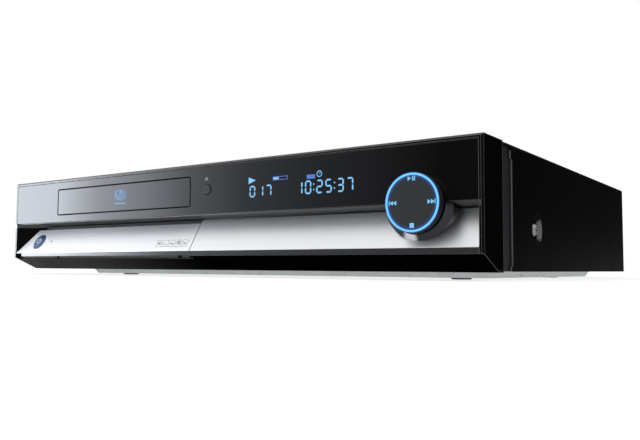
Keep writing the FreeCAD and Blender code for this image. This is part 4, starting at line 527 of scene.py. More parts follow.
@dataclass(frozen=True)
class PaintedHighlightBand(Finish):
    """A dark finish with a painted highlight: one bright band painted on the faces that look one way, up to a
    height.
    """

    painted_highlight_colour: Triple = (0.62, 0.63, 0.65)
    painted_highlight_way: Triple = (-0.14, -0.82, -0.555)
    painted_highlight_range: Point = (0.988, 0.9992)
    painted_highlight_top: float = 1.0

    def add_to(self, surface: Surface) -> None:
        """Paints the highlight band.

        Args:
            surface: The material that is built.
        """
        graph = surface.graph
        band = surface.effect("facing", Way=self.painted_highlight_way, Level=self.painted_highlight_top)
        below = graph.math("SUBTRACT", 1.0, band["Above"])
        # Painted highlight: faces turned to the given way, below the top height, are painted towards the
        # band's colour.
        share = graph.times(graph.spread(band["Turn"], *self.painted_highlight_range), below)
        surface.set("Base Color", graph.blend(share, surface.colour(), self.painted_highlight_colour))


@dataclass(frozen=True)
class BentAluminium(Finish):
    """Brushed aluminium whose folded lip is painted dark, a painted dark reflection that is lighter at the
    left.
    """

    lip_top: float = 0.0178
    painted_dark_span: Point = (-0.20, 0.0)
    painted_dark_left: Triple = (0.26, 0.27, 0.28)
    painted_dark_right: Triple = (0.044, 0.046, 0.049)
    stretch: float = 0.7
    along: Triple = (0.0, 0.7, 0.7)

    def add_to(self, surface: Surface) -> None:
        """Paints the lip dark as a painted reflection, and stretches what the metal mirrors.

        Args:
            surface: The material that is built.
        """
        graph = surface.graph
        # Painted reflection: the lip's front faces, below its top, are painted dark, lighter at the left end.
        low = graph.math("LESS_THAN", graph.part(surface.place, 2), self.lip_top)
        lip = graph.times(surface.effect("facing", Way=AHEAD)["Faces"], low)
        shift = graph.spread(graph.part(surface.place, 0), *self.painted_dark_span)
        dark = graph.blend(shift, self.painted_dark_left, self.painted_dark_right)
        surface.set("Base Color", graph.blend(lip, surface.colour(), dark))
        surface.set("Anisotropic", self.stretch)
        way = graph.node("ShaderNodeCombineXYZ", dict(enumerate(self.along)))
        surface.set("Tangent", way.outputs[0])


@dataclass(frozen=True)
class Glass(Finish):
    """A clear or tinted glass."""

    clearness: float = 0.85
    bending: float = 1.5

    def add_to(self, surface: Surface) -> None:
        """Sets how light passes."""
        surface.set("Transmission Weight", self.clearness)
        surface.set("IOR", self.bending)


POLISH = {"relief": 0.02, "tone": 0.2, "uneven": 0.012, "marks": 0.02}
SYMBOL_LIGHT = {"edge_radius": 0.0001}
INK = {"scale": 5000, "relief": 0.1, "edge_radius": 0.00005}

# The frame's edges get a painted highlight.
FRAME_BLACK = GlossMoulding(
    "frame_black", tint(7, 7, 8), 0.30, specular=0.0, scale=160, edge_radius=0.0006, painted_edge_shading=0.85,
    painted_edge_colour=(0.36, 0.365, 0.37), **POLISH)

# The edge weights below paint a highlight along the edges of dark finishes, and shade along those of light
# ones.
FINISHES = {finish.name: finish for finish in (
    # The cover's bright band is a painted highlight on faces that look partly ahead, such as the walls of its
    # side dishes.
    PaintedHighlightBand(
        "satin_black_steel", tint(6, 6, 7), 0.36, specular=0.005, scale=2600, relief=0.12, marks=0.06,
        dust=0.012, painted_edge_shading=0.35, painted_highlight_colour=(0.24, 0.24, 0.25), painted_highlight_way=AHEAD, painted_highlight_range=(0.30, 0.52),
        painted_highlight_top=0.074),
    Finish("gloss_black", tint(9, 9, 10), 0.035, scale=160, edge_radius=0.0004, **POLISH),
    Finish("tray_door_black", tint(9, 9, 10), 0.035, scale=170, edge_radius=0.0004, **POLISH),
    Finish("strip_grey", tint(34, 34, 38), 0.42, specular=0.06, scale=2200, relief=0.15, painted_edge_shading=0.9,
           painted_edge_colour=(0.22, 0.22, 0.23)),
    BentAluminium(
        "brushed_aluminium", tint(228, 230, 232), 0.28, metallic=1.0, pattern=Pattern.BRUSHED, scale=1500,
        relief=0.10, tone=0.08, uneven=0.12, marks=0.03, painted_edge_shading=0.6, painted_edge_colour=(0.92, 0.92, 0.93)),
    Finish("button_silver", tint(205, 208, 212), 0.22, metallic=1.0, pattern=Pattern.TURNED, scale=5000,
           relief=0.12, tone=0.08, painted_edge_shading=0.6),
    # The skirt's dark base is a painted dark reflection of its dark surroundings, and its bright band low at
    # the front is a painted highlight.
    PaintedHighlightBand("skirt_chrome", tint(52, 53, 56), 0.16, metallic=1.0, pattern=Pattern.TURNED, scale=2500,
           relief=0.03, tone=0.05, uneven=0.05),
    Glow("light_ring_blue", tint(90, 160, 200), 0.25, scale=1200, light=tint(98, 190, 246)),
    EdgeLit("control_face", tint(44, 48, 49), 0.38, specular=0.35, scale=2400, relief=0.10, tone=0.08,
            light=tint(20, 74, 168)),
    Finish("button_black", tint(14, 14, 15), 0.10, pattern=Pattern.TURNED, scale=2400, relief=0.04,
           edge_radius=0.0003),
    Finish("lamp_red", tint(60, 10, 12), 0.12, scale=1800, relief=0.02, coat=0.4),
    Finish("pan_steel", tint(186, 190, 190), 0.38, metallic=0.85, pattern=Pattern.SPANGLE, scale=160,
           relief=0.08, tone=0.10, uneven=0.10),
    Finish("rear_black_steel", tint(24, 24, 25), 0.48, specular=0.3, scale=3200, relief=0.2, dust=0.02,
           painted_edge_shading=0.2),
    Finish("screw_black", tint(160, 150, 151), 0.34, metallic=0.6, scale=3000, relief=0.15, painted_edge_shading=0.5),
    Finish("foot_rubber", tint(30, 30, 31), 0.80, specular=0.3, scale=2400, relief=0.35, marks=0.08),
    Finish("inner_black", tint(27, 27, 29), 0.48, specular=0.4, scale=2400, relief=0.25),
    Finish("tray_grey", tint(62, 63, 67), 0.42, specular=0.4, scale=2600, relief=0.22, painted_edge_shading=0.25),
    Finish("gear_white", tint(224, 222, 212), 0.36, scale=1400, relief=0.06, tone=0.04),
    Finish("belt_rubber", tint(22, 22, 22), 0.62, scale=3600, relief=0.3),
    Finish("motor_steel", tint(176, 178, 180), 0.30, metallic=1.0, pattern=Pattern.SPANGLE, tone=0.06),
    Finish("polished_steel", tint(214, 216, 218), 0.14, metallic=1.0, scale=3000, relief=0.04, tone=0.05,
           uneven=0.08),
    Finish("brass", tint(200, 164, 92), 0.24, metallic=1.0, scale=2600, relief=0.06, tone=0.08),
    Glass("lens_glass", tint(170, 190, 220), 0.03, scale=600, relief=0.0, coat=0.5),
    Finish("board_green", tint(16, 74, 44), 0.34, pattern=Pattern.TRACKS, scale=260, relief=0.25,
           other_base=tint(52, 128, 84), marks=0.03),
    Glass("display_glass", tint(60, 74, 84), 0.04, scale=600, relief=0.0),
    Finish("sink_aluminium", tint(170, 172, 174), 0.40, metallic=1.0, pattern=Pattern.BRUSHED, relief=0.1),
    Finish("transformer_tape", tint(196, 172, 70), 0.34, scale=700, relief=0.1, tone=0.1),
    Finish("capacitor_sleeve", tint(30, 34, 60), 0.24, coat=0.2),
    Finish("cable_white", tint(206, 206, 204), 0.36, pattern=Pattern.WIRES, scale=1000, relief=0.5,
           tone=0.10),
    Finish("card_reader_steel", tint(182, 184, 186), 0.28, metallic=1.0, pattern=Pattern.BRUSHED, scale=1200,
           relief=0.06),
    Finish("jack_black", tint(28, 28, 30), 0.36, specular=0.45, scale=2200, relief=0.15),
)}

DISPLAY_LIGHT = Glow("display_light", tint(70, 110, 150), 0.3, light=tint(120, 190, 236), **SYMBOL_LIGHT)
DISPLAY_DIM = Glow("display_dim", tint(40, 70, 120), 0.3, light=tint(70, 110, 190), **SYMBOL_LIGHT)
DOOR_BLUE = Glow(
    "door_symbol_blue", tint(50, 100, 150), 0.3, light=tint(64, 130, 190), strength=0.8, **SYMBOL_LIGHT)
GREY_INK = Finish("grey_ink", tint(170, 174, 180), 0.45, **INK)
SILVER_INK = Finish("silver_ink", tint(240, 242, 245), 0.35, metallic=0.4, **INK)
DARK_INK = Finish("dark_ink", tint(52, 55, 60), 0.45, **INK)


@dataclass(frozen=True)
class Face:
    """A flat place on the object: where it begins and its upward direction. To the right is along X."""

    origin: Vector
    up: Vector

    @property
    def out(self) -> Vector:
        """Returns the direction that the face looks in."""
        return RIGHTWARDS.cross(self.up)

    def at(self, x: float, y: float, z: float = 0.0) -> Vector:
        """Returns the point x to the right, y up and z out of the face."""
        return self.origin + RIGHTWARDS * x + self.up * y + self.out * z

    @classmethod
    def on(cls, node: str, origin: Vector = Vector(), up: Vector = UPRIGHT) -> "Face":
        """Lays a face on the outermost points of a node.

        Args:
            node: The node that it lies on.
            origin: Its beginning, which is moved out onto the node.
            up: Its direction upwards.

        Returns:
            The face.
        """
        out = RIGHTWARDS.cross(up)
        reach = max(vertex.co.dot(out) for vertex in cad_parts[node].data.vertices)
        return cls(origin + out * (reach - origin.dot(out)), up)


class Shape:
    """Closed shapes gathered into one mesh, most of them outlines that stand a little out of a face."""

    height = 0.00004
    sink = 0.00002
    inner_cut = 0.6
    least_cut = 0.00001

    def __init__(self, face: Face) -> None:
        """Starts an empty shape on that face."""
        self.face = face
        self.mesh = bmesh.new()

    def loop(self, points: Sequence[Point], depth: float) -> list[bmesh.types.BMVert]:
        """Adds a row of points at one distance out of the face, and returns its vertices."""
        return [self.mesh.verts.new(self.face.at(x, y, depth)) for x, y in points]

    def outline(self, points: Sequence[Point]) -> None:
        """Adds a flat shape with that outline.

        Args:
            points: The corners, in order.
        """
        low = self.loop(points, -self.sink)
        high = self.loop(points, self.height)
        self.mesh.faces.new(high)
        self.mesh.faces.new(low[::-1])
        for i, j in zip(range(len(points)), [*range(1, len(points)), 0]):
            self.mesh.faces.new((low[i], low[j], high[j], high[i]))

    def band(self, inner: Sequence[Point], outer: Sequence[Point], closed: bool = True) -> None:
        """Adds the band between two outlines with as many points.

        Args:
            inner: The inner outline.
            outer: The outer outline.
            closed: Whether the band comes back to its start.
        """
        rows = [self.loop(inner, -self.sink), self.loop(outer, -self.sink),
                self.loop(outer, self.height), self.loop(inner, self.height)]
        count = len(inner)
        for i in range(count if closed else count - 1):
            j = (i + 1) % count
            for first, second in zip(rows, rows[1:] + rows[:1]):
                self.mesh.faces.new((first[i], first[j], second[j], second[i]))
        if not closed:
            self.mesh.faces.new([row[0] for row in rows])
            self.mesh.faces.new([row[-1] for row in rows[::-1]])

    def arc(self, centre: Point, radius: float, angles: Sequence[float]) -> list[Point]:
        """Returns the points of a circle at those angles."""
        return [(centre[0] + radius * math.cos(a), centre[1] + radius * math.sin(a)) for a in angles]

    def ring(self, centre: Point, inner: float, outer: float, start: float = 0.0, turn: float = 360.0,
             steps: int = 48) -> None:
        """Adds a flat ring, or a part of one.

        Args:
            centre: Its middle on the face.
            inner: Its inner radius.
            outer: Its outer radius.
            start: The angle where it begins, in degrees from the right.
            turn: The angle that it covers, in degrees.
            steps: How many sides it has.
        """
        closed = turn >= 360
        angles = [math.radians(start + turn * i / steps) for i in range(steps if closed else steps + 1)]
        self.band(self.arc(centre, inner, angles), self.arc(centre, outer, angles), closed)

    def disc(self, centre: Point, radius: float, steps: int = 16) -> None:
        """Adds a flat disc with that many sides."""
        self.outline(self.arc(centre, radius, [math.tau * i / steps for i in range(steps)]))

    def bar(self, start: Point, end: Point, width: float, nose: float = 0.0) -> None:
        """Adds a straight bar.

        Args:
            start: The middle of one end.
            end: The middle of the other end.
            width: Its width.
            nose: How far each end runs out to a point.
        """
        a, b = Vector(start), Vector(end)
        along = (b - a).normalized()
        side = Vector((-along.y, along.x)) * width / 2
        corners = [a + side, a - side, b - side, b + side]
        if nose:
            corners = [a + along * nose + side, a, a + along * nose - side,
                       b - along * nose - side, b, b - along * nose + side]
        self.outline([tuple(corner) for corner in corners])

    def panel(self, low: Point, high: Point) -> None:
        """Adds a rectangle between its lower left and upper right corners."""
        self.outline([low, (high[0], low[1]), high, (low[0], high[1])])

    def rim(self, low: Point, high: Point, width: float, corner: float = 0.0) -> None:
        """Adds the line round a rectangle, its upper right corner cut off if asked.

        Args:
            low: The lower left corner.
            high: The upper right corner.
            width: The line's width.
            corner: How much is cut off the upper right corner.
        """
        rows = []
        for inset in (width, 0.0):
            x0, y0, x1, y1 = low[0] + inset, low[1] + inset, high[0] - inset, high[1] - inset
            cut = max(corner - inset * self.inner_cut, self.least_cut)
            rows.append([(x0, y0), (x1, y0), (x1, y1 - cut), (x1 - cut, y1), (x0, y1)])
        self.band(*rows)

    def triangle(self, centre: Point, width: float, height: float, way: int) -> None:
        """Adds a triangle that points to the right for 1 and to the left for -1.

        Args:
            centre: Its middle.
            width: Its size from base to tip.
            height: Its size along the base.
            way: 1 or -1.
        """
        x, y = centre
        base = x - way * width / 2
        self.outline([(base, y - height / 2), (x + way * width / 2, y), (base, y + height / 2)])

    def object(self, name: str) -> bpy.types.Object:
        """Turns the shape into an object of that name in the scene.

        Args:
            name: The object's name.

        Returns:
            The object.
        """
        bmesh.ops.recalc_face_normals(self.mesh, faces=self.mesh.faces)
        data = bpy.data.meshes.new(name)
        self.mesh.to_mesh(data)
        self.mesh.free()
        return put_in_scene(name, data)


def put_in_scene(name: str, data: bpy.types.ID) -> bpy.types.Object:
    """Makes an object of a mesh, a light or a camera.

    Args:
        name: The object's name.
        data: What it holds.

    Returns:
        The object.
    """
    made = bpy.data.objects.new(name, data)
    bpy.context.scene.collection.objects.link(made)
    return made


class Workshop:
    """Finishes the frame's nodes and makes the pieces that the frame doesn't hold."""

    def __init__(self) -> None:
        """Starts with no material built."""
        self.effects = Effects()
        self.materials: dict[str, bpy.types.Material] = {}

    def material(self, finish: Finish) -> bpy.types.Material:
        """Gives the material of a finish, and builds it the first time."""
        if finish.name not in self.materials:
            self.materials[finish.name] = finish.build(self.effects)
        return self.materials[finish.name]

    def dress(self, node: str, finish: Optional[Finish] = None) -> None:
        """Gives a node of the frame a finish, or if none is given the one that its slot names."""
        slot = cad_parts[node].material_slots[0]
        slot.material = self.material(finish or FINISHES[slot.material.name])

    def dress_turned(self, node: str, finish: Finish, across: Triple = ROUND_Y) -> None:
        """Gives a node a finish whose rings go round the node's middle.

        Args:
            node: The node's name.
            finish: The finish.
            across: 1 for each direction that lies across the axis, and 0 along it.
        """
        centre = tuple(sum(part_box(node), Vector()) / 2)
        name = f"{finish.name}_{node}"
        self.dress(node, replace(finish, name=name, centre=centre, across=across))

    def piece(self, shape: Shape, name: str, body: str, slot: str, finish: Finish) -> None:
        """Makes a piece from its shape, and seats it on the body that carries it.

        Args:
            shape: The shape.
            name: The piece's name.
            body: The body that it rides on.
            slot: The slot of the record that its finish belongs to. It is not used.
            finish: The finish itself.
        """
        made = shape.object(name)
        made.data.materials.append(self.material(finish))
        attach(made, body)
        log.info("piece %s: %d faces on %s", name, len(made.data.polygons), body)


@dataclass
class Studio:
    """The camera at the photograph's place, the pale floor and the soft lights."""

    camera_place: Triple = (0.3541085, -0.506154, 0.0064134)
    camera_yaw: float = 0.6152
    camera_pitch: float = 0.0687
    camera_roll: float = 0.0065
    lens: float = 39.2876
    clip_start: float = 0.005
    floor_half: float = 5.0
    floor_tones: tuple[Triple, Triple] = (tint(228, 228, 228), tint(234, 234, 234))
    floor_grain: float = 60.0
    floor_roughness: float = 0.9
    floor_mirror: float = 0.1
    floor_own_light: float = 0.62
    room_level: float = 0.07
    ceiling_level: float = 1.16
    ceiling_span: Point = (0.20, 0.42)
    backdrop_span: Point = (0.86, 0.91)
    soft_level: float = 0.58
    card_size: Point = (2.0, 0.7)
    card_place: Triple = (-1.30, -1.20, 0.30)
    card_peak: float = 8.3
    card_tint: Triple = (0.94, 1.0, 1.09)
    card_stops: tuple[Point, ...] = (
        (0.0, 0.90), (0.19, 0.95), (0.31, 1.0), (0.41, 0.58), (0.515, 0.40), (0.615, 0.19), (0.716, 0.084),
        (0.816, 0.046), (0.917, 0.023), (1.0, 0.0))

    def directions(self) -> tuple[Vector, Vector, Vector]:
        """Returns the camera's right, up and forward directions."""
        yaw, pitch, roll = self.camera_yaw, self.camera_pitch, self.camera_roll
        forward = Vector((-math.sin(yaw) * math.cos(pitch), math.cos(yaw) * math.cos(pitch), math.sin(pitch)))
        level = Vector((math.cos(yaw), math.sin(yaw), 0.0))
        above = level.cross(forward)
        right = level * math.cos(roll) + above * math.sin(roll)
        return right, above * math.cos(roll) - level * math.sin(roll), forward

    def set_camera(self) -> None:
        """Puts the camera where the photograph was taken from."""
        data = bpy.data.cameras.new("camera")
        data.lens = self.lens
        data.clip_start = self.clip_start
        camera = put_in_scene("camera", data)
        right, up, forward = self.directions()
        turn = Matrix((right, up, -forward)).transposed().to_4x4()
        camera.matrix_world = Matrix.Translation(self.camera_place) @ turn
        bpy.context.scene.camera = camera

    def lay_floor(self) -> None:
        """Lays the pale floor, which keeps the object's shadow."""
        half = self.floor_half
        corners = [(-half, -half, 0), (half, -half, 0), (half, half, 0), (-half, half, 0)]
        data = bpy.data.meshes.new("floor")
        data.from_pydata(corners, [], [(0, 1, 2, 3)])
        floor = put_in_scene("floor", data)
        material = bpy.data.materials.new("pale_floor")
        material.use_nodes = True
        graph = Graph(material.node_tree)
        inputs = material.node_tree.nodes["Principled BSDF"].inputs
        place = graph.node("ShaderNodeTexCoord").outputs["Object"]
        grain = graph.noise(place, self.floor_grain, detail=3.0)
        rays = graph.node("ShaderNodeLightPath").outputs
        mirrored = graph.math("MAXIMUM", rays["Is Glossy Ray"], rays["Is Transmission Ray"])
        seen = graph.math("MAXIMUM", rays["Is Camera Ray"], mirrored)
        graph.feed(inputs["Base Color"], graph.blend(grain, *self.floor_tones))
        graph.feed(inputs["Roughness"], self.floor_roughness)
        graph.feed(inputs["Specular IOR Level"], self.floor_mirror)
        graph.feed(inputs["Emission Color"], WHITE)
        graph.feed(inputs["Emission Strength"], graph.times(seen, self.floor_own_light))
        data.materials.append(material)

    def light_world(self) -> None:
        """Sets the white backdrop, the bright ceiling that metal shows, and the even soft light."""
        world = bpy.data.worlds.new("studio")
        world.use_nodes = True
        bpy.context.scene.world = world
        graph = Graph(world.node_tree)
        world.node_tree.nodes.clear()
        way = graph.node("ShaderNodeTexCoord").outputs["Generated"]
        ceiling = graph.spread(graph.part(way, 2), *self.ceiling_span, 0.0, self.ceiling_level)
        forward = graph.vector("DOT_PRODUCT", way, tuple(self.directions()[2]))["Value"]
        backdrop = graph.spread(forward, *self.backdrop_span)
        shown = graph.math("MAXIMUM", graph.math("MAXIMUM", ceiling, backdrop), self.room_level)
        rays = graph.node("ShaderNodeLightPath").outputs
        mirrored = graph.math("MAXIMUM", rays["Is Glossy Ray"], rays["Is Transmission Ray"])
        level = graph.between(rays["Is Camera Ray"], graph.between(mirrored, self.soft_level, shown), 1.0)
        background = graph.node("ShaderNodeBackground", {"Color": WHITE, "Strength": level})
        graph.node("ShaderNodeOutputWorld", {"Surface": background.outputs[0]})

    def hang_card(self) -> None:
        """Hangs the long soft light at the left, bright at its far end, that the glossy front mirrors."""
        data = bpy.data.lights.new("left_card", "AREA")
        data.shape = "RECTANGLE"
        data.size, data.size_y = self.card_size
        data.energy = math.pi * self.card_size[0] * self.card_size[1]
        data.use_nodes = True
        graph = Graph(data.node_tree)
        along = graph.part(graph.node("ShaderNodeNewGeometry").outputs["Parametric"], 0)
        ramp = graph.node("ShaderNodeValToRGB", {0: along})
        stops = ramp.color_ramp.elements
        for _ in self.card_stops[2:]:
            stops.new(0.5)
        for stop, (place, share) in zip(stops, self.card_stops):
            stop.position = place
            stop.color = (*(share * part for part in self.card_tint), 1.0)
        emission = data.node_tree.nodes["Emission"].inputs
        graph.feed(emission["Color"], ramp.outputs[0])
        graph.feed(emission["Strength"], self.card_peak)
        card = put_in_scene("left_card", data)
        card.location = self.card_place
        card.rotation_euler = (math.pi / 2, 0, 0)
        card.visible_camera = False

    def set_up(self) -> None:
        """Sets the camera, the floor, the lights and the plain view settings."""
        self.set_camera()
        self.lay_floor()
        self.light_world()
        self.hang_card()
        bpy.context.scene.view_settings.view_transform = "Standard"
        log.info("studio set up")


@dataclass
class Assembly:
    """A sub-assembly: the nodes that take the finish of their slot, and the pieces that it adds."""

    shop: Workshop
    nodes: tuple[str, ...] = ()

    def build(self) -> None:
        """Dresses the nodes and adds the pieces."""
        for node in self.nodes:
            self.shop.dress(node)
        self.add_pieces()
        log.info("%s dressed", type(self).__name__)

    def add_pieces(self) -> None:
        """Adds nothing here. A sub-assembly with symbols or turned pieces adds those."""


@dataclass
class Cabinet(Assembly):
    """The steel case: top cover, pan, rear panel, side strips, feet and screws."""

    nodes: tuple[str, ...] = ("top_cover", "chassis_pan", "rear_panel", "side_strips", "feet", "cover_screws")


@dataclass
class FrontPanel(Assembly):
    """The glossy front with its tray door, the button beside it and their symbols."""

    nodes: tuple[str, ...] = ("fascia_panel", "tray_door")
    disc_symbol: Point = (-0.0751, 0.0608)
    disc_radius: float = 0.0042
    disc_line: float = 0.0009
    glint_radius: float = 0.62
    glint_line: float = 0.6
    disc_bar: Point = (0.0125, 0.0010)
    disc_arc: float = 0.0062
    disc_bar_drop: float = 0.0064
    eject_symbol: Point = (0.0156, 0.0668)
    eject_size: Point = (0.0030, 0.0015)
    eject_bar: float = 0.0005
    eject_bar_drop: float = 1.3

    def add_pieces(self) -> None:
        """Dresses the frame and the button, and adds the symbols."""
        self.shop.dress("front_frame", FRAME_BLACK)
        self.shop.dress_turned("open_close_button", FINISHES["button_black"])
        self.add_disc_symbol()
        self.add_eject_symbol()

    def add_disc_symbol(self) -> None:
        """Adds a plain disc with an arc at each side, over a short bar, to the tray door."""
        shape = Shape(Face.on("tray_door"))
        x, y = centre = self.disc_symbol
        line, glint = self.disc_line, self.disc_radius * self.glint_radius
        shape.ring(centre, self.disc_radius - line, self.disc_radius)
        shape.ring(centre, line, line * 2)
        for start in (20, 200):
            shape.ring(centre, glint, glint + line * self.glint_line, start, turn=60, steps=8)
        for start in (-38, 142):
            shape.ring(centre, self.disc_arc - line, self.disc_arc, start, turn=76, steps=12)
        length, width = self.disc_bar
        low = y - self.disc_bar_drop
        shape.bar((x - length / 2, low), (x + length / 2, low), width)
        self.shop.piece(shape, "tray_door_disc_symbol", "tray", "tray_door_black", DOOR_BLUE)

    def add_eject_symbol(self) -> None:
        """Adds the open and close symbol above its button."""
        shape = Shape(Face.on("fascia_panel"))
        x, y = self.eject_symbol
        left, right = x - self.eject_size[0] / 2, x + self.eject_size[0] / 2
        low = y - self.eject_bar * self.eject_bar_drop
        shape.outline([(left, y), (right, y), (x, y + self.eject_size[1])])
        shape.bar((left, low), (right, low), self.eject_bar)
        self.shop.piece(shape, "open_close_symbol", "cabinet", "gloss_black", GREY_INK)


@dataclass
class Display(Assembly):
    """The lit figures and symbols that show through the front beside the tray door."""

    nodes: tuple[str, ...] = ("display_tube",)
    counter: str = "017"
    counter_place: Point = (0.0548, 0.0520)
    counter_size: Point = (0.0048, 0.0075)
    counter_step: float = 0.0068
    clock: str = "10:25:37"
    clock_place: Point = (0.0930, 0.0516)
    clock_size: Point = (0.0048, 0.0084)
    clock_step: float = 0.0067
    colon_step: float = 0.00185
    colon_heights: Point = (0.3, 0.7)
    stroke: float = 0.0010
    stroke_gap: float = 0.16
    play: Point = (0.0569, 0.0630)
    play_size: Point = (0.0060, 0.0044)
    gauge: tuple[Point, Point] = ((0.0742, 0.0619), (0.0862, 0.0643))
    gauge_fill: float = 0.4
    mark: tuple[Point, Point] = ((0.1010, 0.0610), (0.1073, 0.0636))
    watch: Point = (0.1105, 0.0636)
    watch_radius: float = 0.0020
    watch_hand: Point = (0.0006, 0.0008)
    thin: float = 0.0005
    rim_share: float = 0.8

    def strokes(self) -> dict[str, str]:
        """Returns the strokes of each figure, lettered clockwise from the top with g across the middle."""
        return {"0": "abcdef", "1": "bc", "2": "abged", "3": "abgcd", "5": "afgcd", "7": "abc"}

    def figure(self, shape: Shape, text: str, place: Point, size: Point) -> None:
        """Adds one figure.

        Args:
            shape: The shape that it goes into.
            text: The figure.
            place: Its lower left corner.
            size: Its width and height.
        """
        x, y = place
        width, height = size
        inset = self.stroke / 2
        left, right = x + inset, x + width - inset
        low, middle, top = y + inset, y + height / 2, y + height - inset
        ends = {"a": ((left, top), (right, top)), "b": ((right, top), (right, middle)),
                "c": ((right, middle), (right, low)), "d": ((left, low), (right, low)),
                "e": ((left, middle), (left, low)), "f": ((left, top), (left, middle)),
                "g": ((left, middle), (right, middle))}
        for letter in self.strokes()[text]:
            start, end = (Vector(point) for point in ends[letter])
            gap = (end - start).normalized() * self.stroke * self.stroke_gap
            shape.bar(tuple(start + gap), tuple(end - gap), self.stroke, self.stroke / 2)

    def write(self, shape: Shape, text: str, place: Point, size: Point, step: float) -> None:
        """Adds a row of figures, with the colons between two of them.

        Args:
            shape: The shape that they go into.
            text: The figures and colons.
            place: The lower left corner of the first.
            size: The width and height of one.
            step: The distance from one to the next.
        """
        x, y = place
        for letter in text:
            if letter != ":":
                self.figure(shape, letter, (x, y), size)
                x += step
                continue
            for share in self.colon_heights:
                middle = x - (step - size[0] - self.colon_step) / 2
                shape.disc((middle, y + size[1] * share), self.stroke / 2)
            x += self.colon_step

    def add_pieces(self) -> None:
        """Adds what the display shows."""
        face = Face.on("fascia_panel")
        bright = Shape(face)
        self.write(bright, self.counter, self.counter_place, self.counter_size, self.counter_step)
        self.write(bright, self.clock, self.clock_place, self.clock_size, self.clock_step)
        bright.triangle(self.play, *self.play_size, 1)
        low, high = self.gauge
        thin, watch, hand = self.thin, self.watch, self.watch_hand
        filled = low[0] + (high[0] - low[0]) * self.gauge_fill
        bright.panel((low[0] + thin, low[1] + thin), (filled, high[1] - thin))
        bright.ring(watch, self.watch_radius - thin, self.watch_radius, steps=32)
        bright.bar(watch, (watch[0] + hand[0], watch[1] + hand[1]), thin)
        self.shop.piece(bright, "display_figures", "cabinet", "display_glass", DISPLAY_LIGHT)
        dim = Shape(face)
        dim.rim(low, high, thin * self.rim_share)
        dim.panel(*self.mark)
        self.shop.piece(dim, "display_frames", "cabinet", "display_glass", DISPLAY_DIM)


@dataclass
class FourWayControl(Assembly):
    """The round control: its face, light ring and chrome skirt, with the four symbols on the face."""

    nodes: tuple[str, ...] = ("control_light_ring", "control_housing", "control_gimbal", "control_board")
    radius: float = 0.0166
    glow_share: Point = (0.78, 0.91)
    top_symbol: float = 0.0132
    side_symbol: float = 0.0116
    low_symbol: float = 0.0126
    triangle: Point = (0.0021, 0.0026)
    play_left: float = 0.0014
    pause_places: Point = (0.0003, 0.0014)
    pause_width: float = 0.0007
    stop_size: float = 0.0026
    end_bar: float = 0.0005

    def add_pieces(self) -> None:
        """Dresses the face and the skirt, and adds the symbols."""
        low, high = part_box("control_cap")
        centre = (low + high) / 2
        inner, outer = (self.radius * share for share in self.glow_share)
        face = replace(FINISHES["control_face"], centre=tuple(centre), inner=inner, outer=outer)
        self.shop.dress("control_cap", face)
        self.shop.dress_turned("control_skirt", FINISHES["skirt_chrome"])
        self.add_symbols(Vector((centre.x, 0.0, centre.z)))

    def add_symbols(self, centre: Vector) -> None:
        """Adds play and pause, stop, and the two skips round the face's middle.

        Args:
            centre: The face's middle.
        """
        shape = Shape(Face.on("control_cap", centre))
        width, height = self.triangle
        top, low, half = self.top_symbol, -self.low_symbol, self.stop_size / 2
        shape.triangle((-self.play_left, top), width, height, 1)
        for x in self.pause_places:
            shape.panel((x, top - height / 2), (x + self.pause_width, top + height / 2))
        shape.panel((-half, low - half), (half, low + half))
        for way in (-1, 1):
            for step in (-0.5, 0.5):
                shape.triangle((way * (self.side_symbol + step * width), 0.0), width, height, way)
            x = way * (self.side_symbol + width + self.end_bar / 2)
            shape.panel((x - self.end_bar / 2, -height / 2), (x + self.end_bar / 2, height / 2))
        self.shop.piece(shape, "control_symbols", "control", "light_ring_blue", DISPLAY_LIGHT)


@dataclass
class CardDoor(Assembly):
    """The brushed door over the card slots, with the card outlines on it, and the bright panel beside it."""

    nodes: tuple[str, ...] = (
        "card_door", "card_door_backing", "card_door_pins", "card_bezel", "card_reader", "lower_trim")
    first_card: float = -0.0365
    card_step: float = 0.0066
    card_size: float = 0.0056
    card_low: float = 0.0062
    card_cut: float = 0.0012
    line: float = 0.00022
    contact_rows: tuple[int, ...] = (3, 1, 2, 4, 2)
    contact_ends: Point = (0.25, 0.75)
    contact_low: float = 0.34
    contact_step: float = 3.4
    contact_line: float = 1.9

    def add_pieces(self) -> None:
        """Draws the cards on the door, each with its own count of contact rows."""
        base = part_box("card_door")[0]
        shape = Shape(Face.on("card_door", Vector((0.0, base.y, base.z)), UP_THE_SLOPE))
        size, low, line = self.card_size, self.card_low, self.line
        for card, rows in enumerate(self.contact_rows):
            x = self.first_card + card * self.card_step
            left, right = (x + size * share for share in self.contact_ends)
            shape.rim((x, low), (x + size, low + size), line, self.card_cut)
            for row in range(rows):
                y = low + size * self.contact_low + row * line * self.contact_step
                shape.panel((left, y), (right, y + line * self.contact_line))
        self.shop.piece(shape, "card_door_outlines", "card_flap", "brushed_aluminium", DARK_INK)


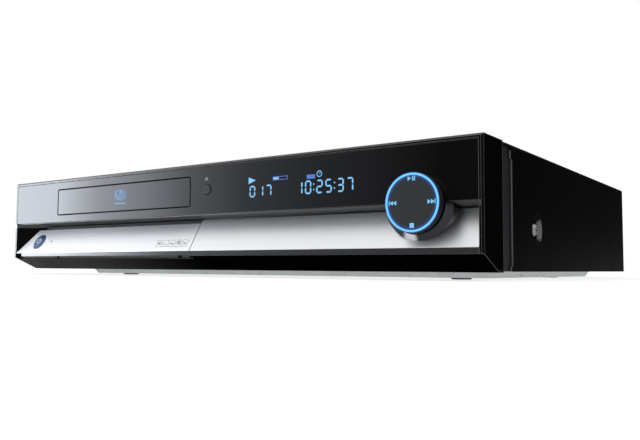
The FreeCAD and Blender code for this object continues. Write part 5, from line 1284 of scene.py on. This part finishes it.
@dataclass
class PowerButton(Assembly):
    """The power button with its blue ring, its symbol and the small standby lamp."""

    nodes: tuple[str, ...] = ("standby_light", "power_housing", "tact_switches")
    cap_colour: Triple = tint(92, 112, 150)
    ring_colour: Triple = tint(30, 60, 110)
    ring_light: Triple = tint(34, 66, 128)
    ring_strength: float = 0.6
    flat_depth: float = 0.00005
    symbol_radius: float = 0.0024
    symbol_bar: Point = (0.25, 1.25)
    symbol_gap: float = 60
    line: float = 0.00060

    def add_pieces(self) -> None:
        """Dresses the button and its ring, and adds the symbol to the flat of the cap."""
        self.shop.dress_turned("power_button", replace(FINISHES["button_silver"], base=self.cap_colour))
        ring = replace(FINISHES["light_ring_blue"], name="power_ring_blue", base=self.ring_colour, coat=1.0,
                       light=self.ring_light, strength=self.ring_strength)
        self.shop.dress("power_light_ring", ring)
        low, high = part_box("power_button")
        face = Face.on("power_button", (low + high) / 2, UP_THE_SLOPE)
        reach = face.origin.dot(face.out) - self.flat_depth
        points = [vertex.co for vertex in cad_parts["power_button"].data.vertices]
        flat = [point for point in points if point.dot(face.out) > reach]
        shape = Shape(Face(sum(flat, Vector()) / len(flat), UP_THE_SLOPE))
        radius, gap = self.symbol_radius, self.symbol_gap
        start, end = (radius * share for share in self.symbol_bar)
        shape.ring((0.0, 0.0), radius - self.line, radius, 90 + gap / 2, 360 - gap, steps=28)
        shape.bar((0.0, start), (0.0, end), self.line)
        self.shop.piece(shape, "power_symbol", "power_key", "button_silver", SILVER_INK)


@dataclass
class RearConnectors(Assembly):
    """The sockets and the fan at the back."""

    nodes: tuple[str, ...] = (
        "mains_inlet", "fan_frame", "fan_rotor", "video_jack", "phono_jacks", "digital_jacks")


@dataclass
class DiscDrive(Assembly):
    """The tray, its drive, the clamp and the sled with the lens."""

    nodes: tuple[str, ...] = (
        "disc_tray", "loader_frame", "clamp_bridge", "loading_belt", "loading_motor", "drive_mounts",
        "traverse", "guide_rails", "sled_motor", "pickup_sled", "pickup_lens", "lead_screw")
    turned_nodes: tuple[str, ...] = (
        "clamper", "loading_pulley", "motor_pulley", "spindle_motor", "tray_drive_gear", "turntable")

    def add_pieces(self) -> None:
        """Dresses the round pieces, whose rings go round their upright axes."""
        for node in self.turned_nodes:
            finish = FINISHES[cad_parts[node].material_slots[0].material.name]
            self.shop.dress_turned(node, replace(finish, pattern=Pattern.TURNED), ROUND_Z)


@dataclass
class Electronics(Assembly):
    """The boards and what stands on them."""

    nodes: tuple[str, ...] = (
        "main_board", "power_board", "front_board", "main_heat_sink", "power_heat_sinks", "transformer",
        "capacitors", "flat_cables")


def main() -> None:
    """Builds the studio, then dresses the object one sub-assembly after another."""
    logging.basicConfig(level=logging.INFO, format="%(name)s: %(message)s")
    Studio().set_up()
    shop = Workshop()
    for part in (Cabinet, FrontPanel, Display, FourWayControl, CardDoor, PowerButton, RearConnectors,
                 DiscDrive, Electronics):
        part(shop).build()


if __name__ == "__main__":
    main()
